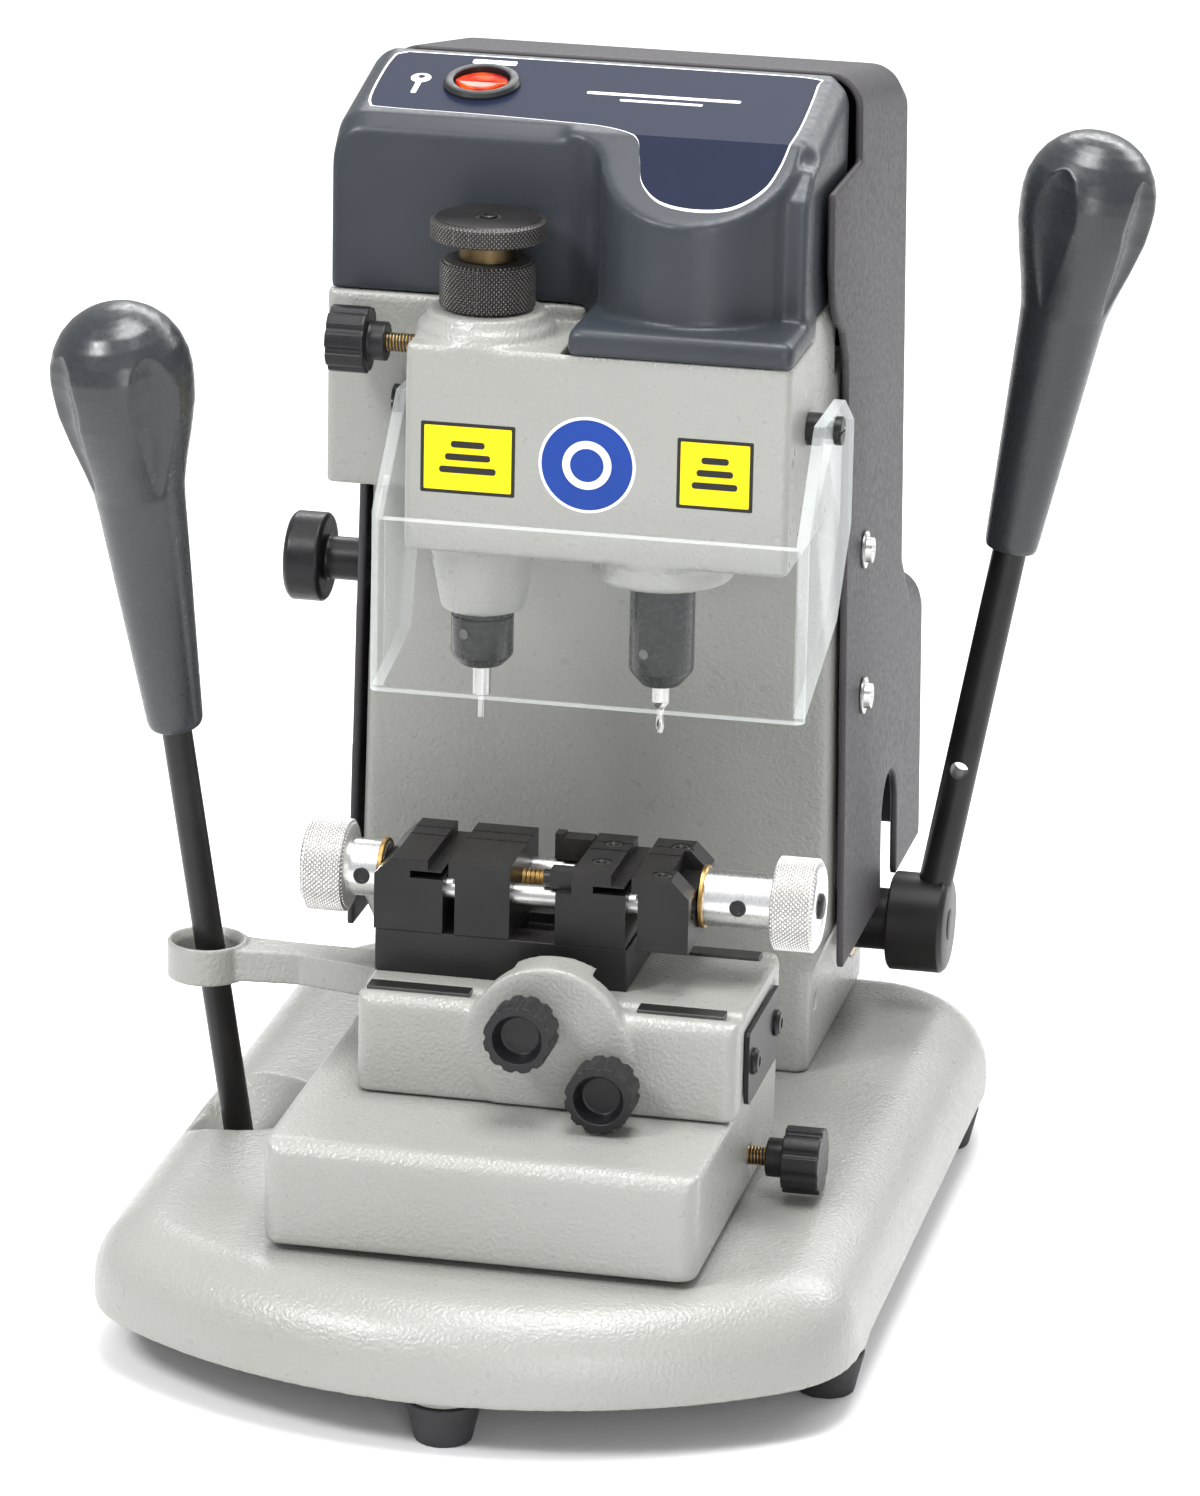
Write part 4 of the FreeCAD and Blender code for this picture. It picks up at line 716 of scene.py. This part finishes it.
def smooth_outline(points, steps=6):
    """Closed curve through given points, rounded by a Catmull-Rom spline."""
    result = []
    count = len(points)
    for i in range(count):
        p0, p1, p2, p3 = (Vector(points[(i + k - 1) % count]) for k in range(4))
        for s in range(steps):
            t = s / steps
            result.append(0.5 * ((2 * p1) + (p2 - p0) * t + (2 * p0 - 5 * p1 + 4 * p2 - p3) * t * t
                                 + (3 * p1 - p0 - 3 * p2 + p3) * t ** 3))
    return result


def lid_sheet(name, outline, lift, look):
    """Sheet laid on the head cover's sloping lid, bent at the tower's crease."""
    work = bmesh.new()
    work.faces.new([work.verts.new((p.x, p.y, 0)) for p in outline])
    bmesh.ops.bisect_plane(work, geom=work.verts[:] + work.edges[:] + work.faces[:],
                           plane_co=(0, CREASE_Y, 0), plane_no=(0, 1, 0), dist=1e-6)
    made = bmesh.ops.extrude_face_region(work, geom=work.faces[:])
    raised = {g for g in made["geom"] if isinstance(g, bmesh.types.BMVert)}
    for v in work.verts:
        thickness = SHEET_THICKNESS if v in raised else 0.0
        v.co = at(v.co.x, v.co.y, lid_height(v.co.y) + lift + thickness)
    return new_piece(name, mesh_from(work, name), "head", look, smooth=False)


def lid_panel():
    """Navy panel with a white outline, three plain bars and a small key mark."""
    outline = smooth_outline(PANEL)
    middle = Vector((5, -18))
    inner = [middle + Vector(((p.x - middle.x) * 0.991, (p.y - middle.y) * 0.978)) for p in outline]
    lid_sheet("lid_panel_edge", outline, -0.06, WHITE)
    lid_sheet("lid_panel_field", inner, 0.06, NAVY)
    for name, x0, x1, y0, y1 in (("switch_tag", -49, -34, 8.4, 11.6), ("bar_long", -6, 46, -9, -7.2),
                                 ("bar_short", 6, 34, -13, -11.6), ("key_mark_shank", -64.2, -62.4, -17, -8)):
        mark = [Vector(p) for p in rectangle(x0, x1, y0, y1, 0.7)]
        lid_sheet(name, mark, 0.2, WHITE)
    lid_sheet("key_mark_bow", [Vector(p) for p in circle(-63.3, -5.2, 3.4, 32)], 0.2, WHITE)
    lid_sheet("key_mark_hole", [Vector(p) for p in circle(-63.3, -4.4, 1.2, 24)], 0.3, NAVY)


def lid_switch():
    tilt = math.atan(LID_SLOPE)
    up = Vector((0, -math.sin(tilt), math.cos(tilt)))
    profile = [(0, 12.8), (1.2, 12.9), (2.4, 12.2), (2.8, 11.0), (2.4, 9.6), (-1.5, 9.3)]
    bezel = turned("switch_bezel_ring", profile, SWITCH, up, "head", BLACK_PLASTIC)
    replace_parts(bezel, "switch_bezel")


# ---------------------------------------------------------------- small fittings
def jaw_screws():
    """Socket screws sunk in the right clamp's two jaws."""
    for body, spots in (("x_carriage", ((27, -117), (27, -98))), ("right_jaw", ((49, -125), (49, -95)))):
        for x, y in spots:
            black_turned("jaw_screw_%d_%d" % (x, -y),
                         [(-3.3, 3.2), (-0.5, 3.2), (-0.2, 2.9), (-0.2, 1.8), (-1.8, 1.5)],
                         (x, y, JAW_TOP_Z), UP, body, DARK_STEEL, 36)


def side_plate():
    """Black plate on the right end of the upper slide, with two cap screws."""
    outline = [at(SIDE_PLATE_X, y, z) for y, z in rectangle(-141, -89, 87.5, 112.5, 3.0)]
    plate("slide_side_plate", outline, 1.6, (1, 0, 0), "x_carriage", BLACK_STEEL)
    for y in (-134, -96):
        black_turned("side_plate_screw_%d" % -y, [(0, 4.4), (1.0, 4.4), (2.2, 3.2), (2.4, 1.8), (1.4, 1.5)],
                     (SIDE_PLATE_X + 1.45, y, 101), (1, 0, 0), "x_carriage", around=36)


def work_light():
    """Glowing lens in the underside of the head."""
    lens = [at(x, y, 247.4) for x, y in rectangle(-5.4, 9.4, -53.4, -30.6, 2.0)]
    plate("work_light_lens", lens, 2.0, (0, 0, -1), "head", GLOW)


def soft_castings():
    for node, (voxel, passes) in SOFT_CASTINGS.items():
        softened(node, voxel, passes)


def guard():
    """Clear sheet: its cut edges are milkier than its faces."""
    sheet = bevelled("shield", 0.6).data
    sheet.materials.append(CLEAR_EDGE)
    for face in sheet.polygons:
        face.material_index = 1 if face.area < SHEET_EDGE_AREA else 0


def machined_pieces():
    for node in ("left_fixed_jaw", "left_moving_jaw", "right_fixed_jaw", "right_moving_jaw", "clamp_plate"):
        bevelled(node, 0.45, smooth=False)
    for node in ("key_stops", "shield_screws", "frame_screws"):
        bevelled(node, 0.2)
    strips = bevelled("way_strips", 0.2)
    strips.data.materials.clear()
    strips.data.materials.append(DARK_STEEL)
    guard()
    bevelled("lever_rod", 0.3)


# ---------------------------------------------------------------- camera, light, floor
def camera():
    azimuth, elevation, roll = (math.radians(angle) for angle in CAMERA_ANGLES)
    back = Vector((math.sin(azimuth) * math.cos(elevation), -math.cos(azimuth) * math.cos(elevation),
                   math.sin(elevation)))
    right = Vector((math.cos(azimuth), math.sin(azimuth), 0))
    up = back.cross(right)
    turned_right = right * math.cos(roll) + up * math.sin(roll)
    turned_up = up * math.cos(roll) - right * math.sin(roll)
    data = bpy.data.cameras.new("camera")
    data.lens = CAMERA_LENS
    data.sensor_width = 36
    data.clip_end = 20
    eye = bpy.data.objects.new("camera", data)
    basis = Matrix((turned_right, turned_up, back)).transposed()
    eye.matrix_world = Matrix.Translation(at(*CAMERA_PLACE)) @ basis.to_4x4()
    SCENE.collection.objects.link(eye)
    SCENE.camera = eye


def area_light(name, place, target, size, power):
    data = bpy.data.lights.new(name, "AREA")
    data.shape = "RECTANGLE"
    data.size, data.size_y = size
    data.energy = power
    lamp = bpy.data.objects.new(name, data)
    lamp.location = place
    lamp.rotation_euler = (Vector(target) - Vector(place)).to_track_quat("-Z", "Y").to_euler()
    SCENE.collection.objects.link(lamp)


def studio():
    data = bpy.data.meshes.new("floor")
    size = 6.0      # metres, from the middle to each side
    corners = [(-size, -size, 0), (size, -size, 0), (size, size, 0), (-size, size, 0)]
    data.from_pydata(corners, [], [(0, 1, 2, 3)])
    floor = bpy.data.objects.new("floor", data)
    SCENE.collection.objects.link(floor)
    look = Look("pale_floor", (0.86, 0.86, 0.86), 0.6)
    look.tint(look.noise(3, 2), (0.85, 0.85, 0.85), (0.87, 0.87, 0.87))
    data.materials.append(look.material)
    world = bpy.data.worlds.new("studio")
    world.use_nodes = True
    world.node_tree.nodes["Background"].inputs["Color"].default_value = (0.97, 0.985, 1.0, 1)
    world.node_tree.nodes["Background"].inputs["Strength"].default_value = 0.62
    SCENE.world = world
    area_light("key_light", (-0.9, -1.1, 1.5), (0, 0, 0.2), (0.5, 0.5), 25)
    area_light("fill_light", (0.6, -1.7, 0.5), (0, 0, 0.2), (0.6, 0.9), 9)
    area_light("top_light", (0.1, -0.1, 1.7), (0, -0.1, 0.2), (1.0, 0.7), 30)
    area_light("rim_light", (1.0, 1.3, 1.1), (0, 0.1, 0.2), (0.7, 0.7), 10)
    area_light("floor_glow", (0.0, 3.2, 2.6), (0, 1.6, 0), (3.0, 1.2), 90)


finish_cad_nodes()
soft_castings()
machined_pieces()
levers()
clamp_knobs()
screws_with_threads()
tracer_adjuster()
cutter()
tracer()
collet_screws()
front_labels()
lid_panel()
lid_switch()
jaw_screws()
side_plate()
work_light()
camera()
studio()
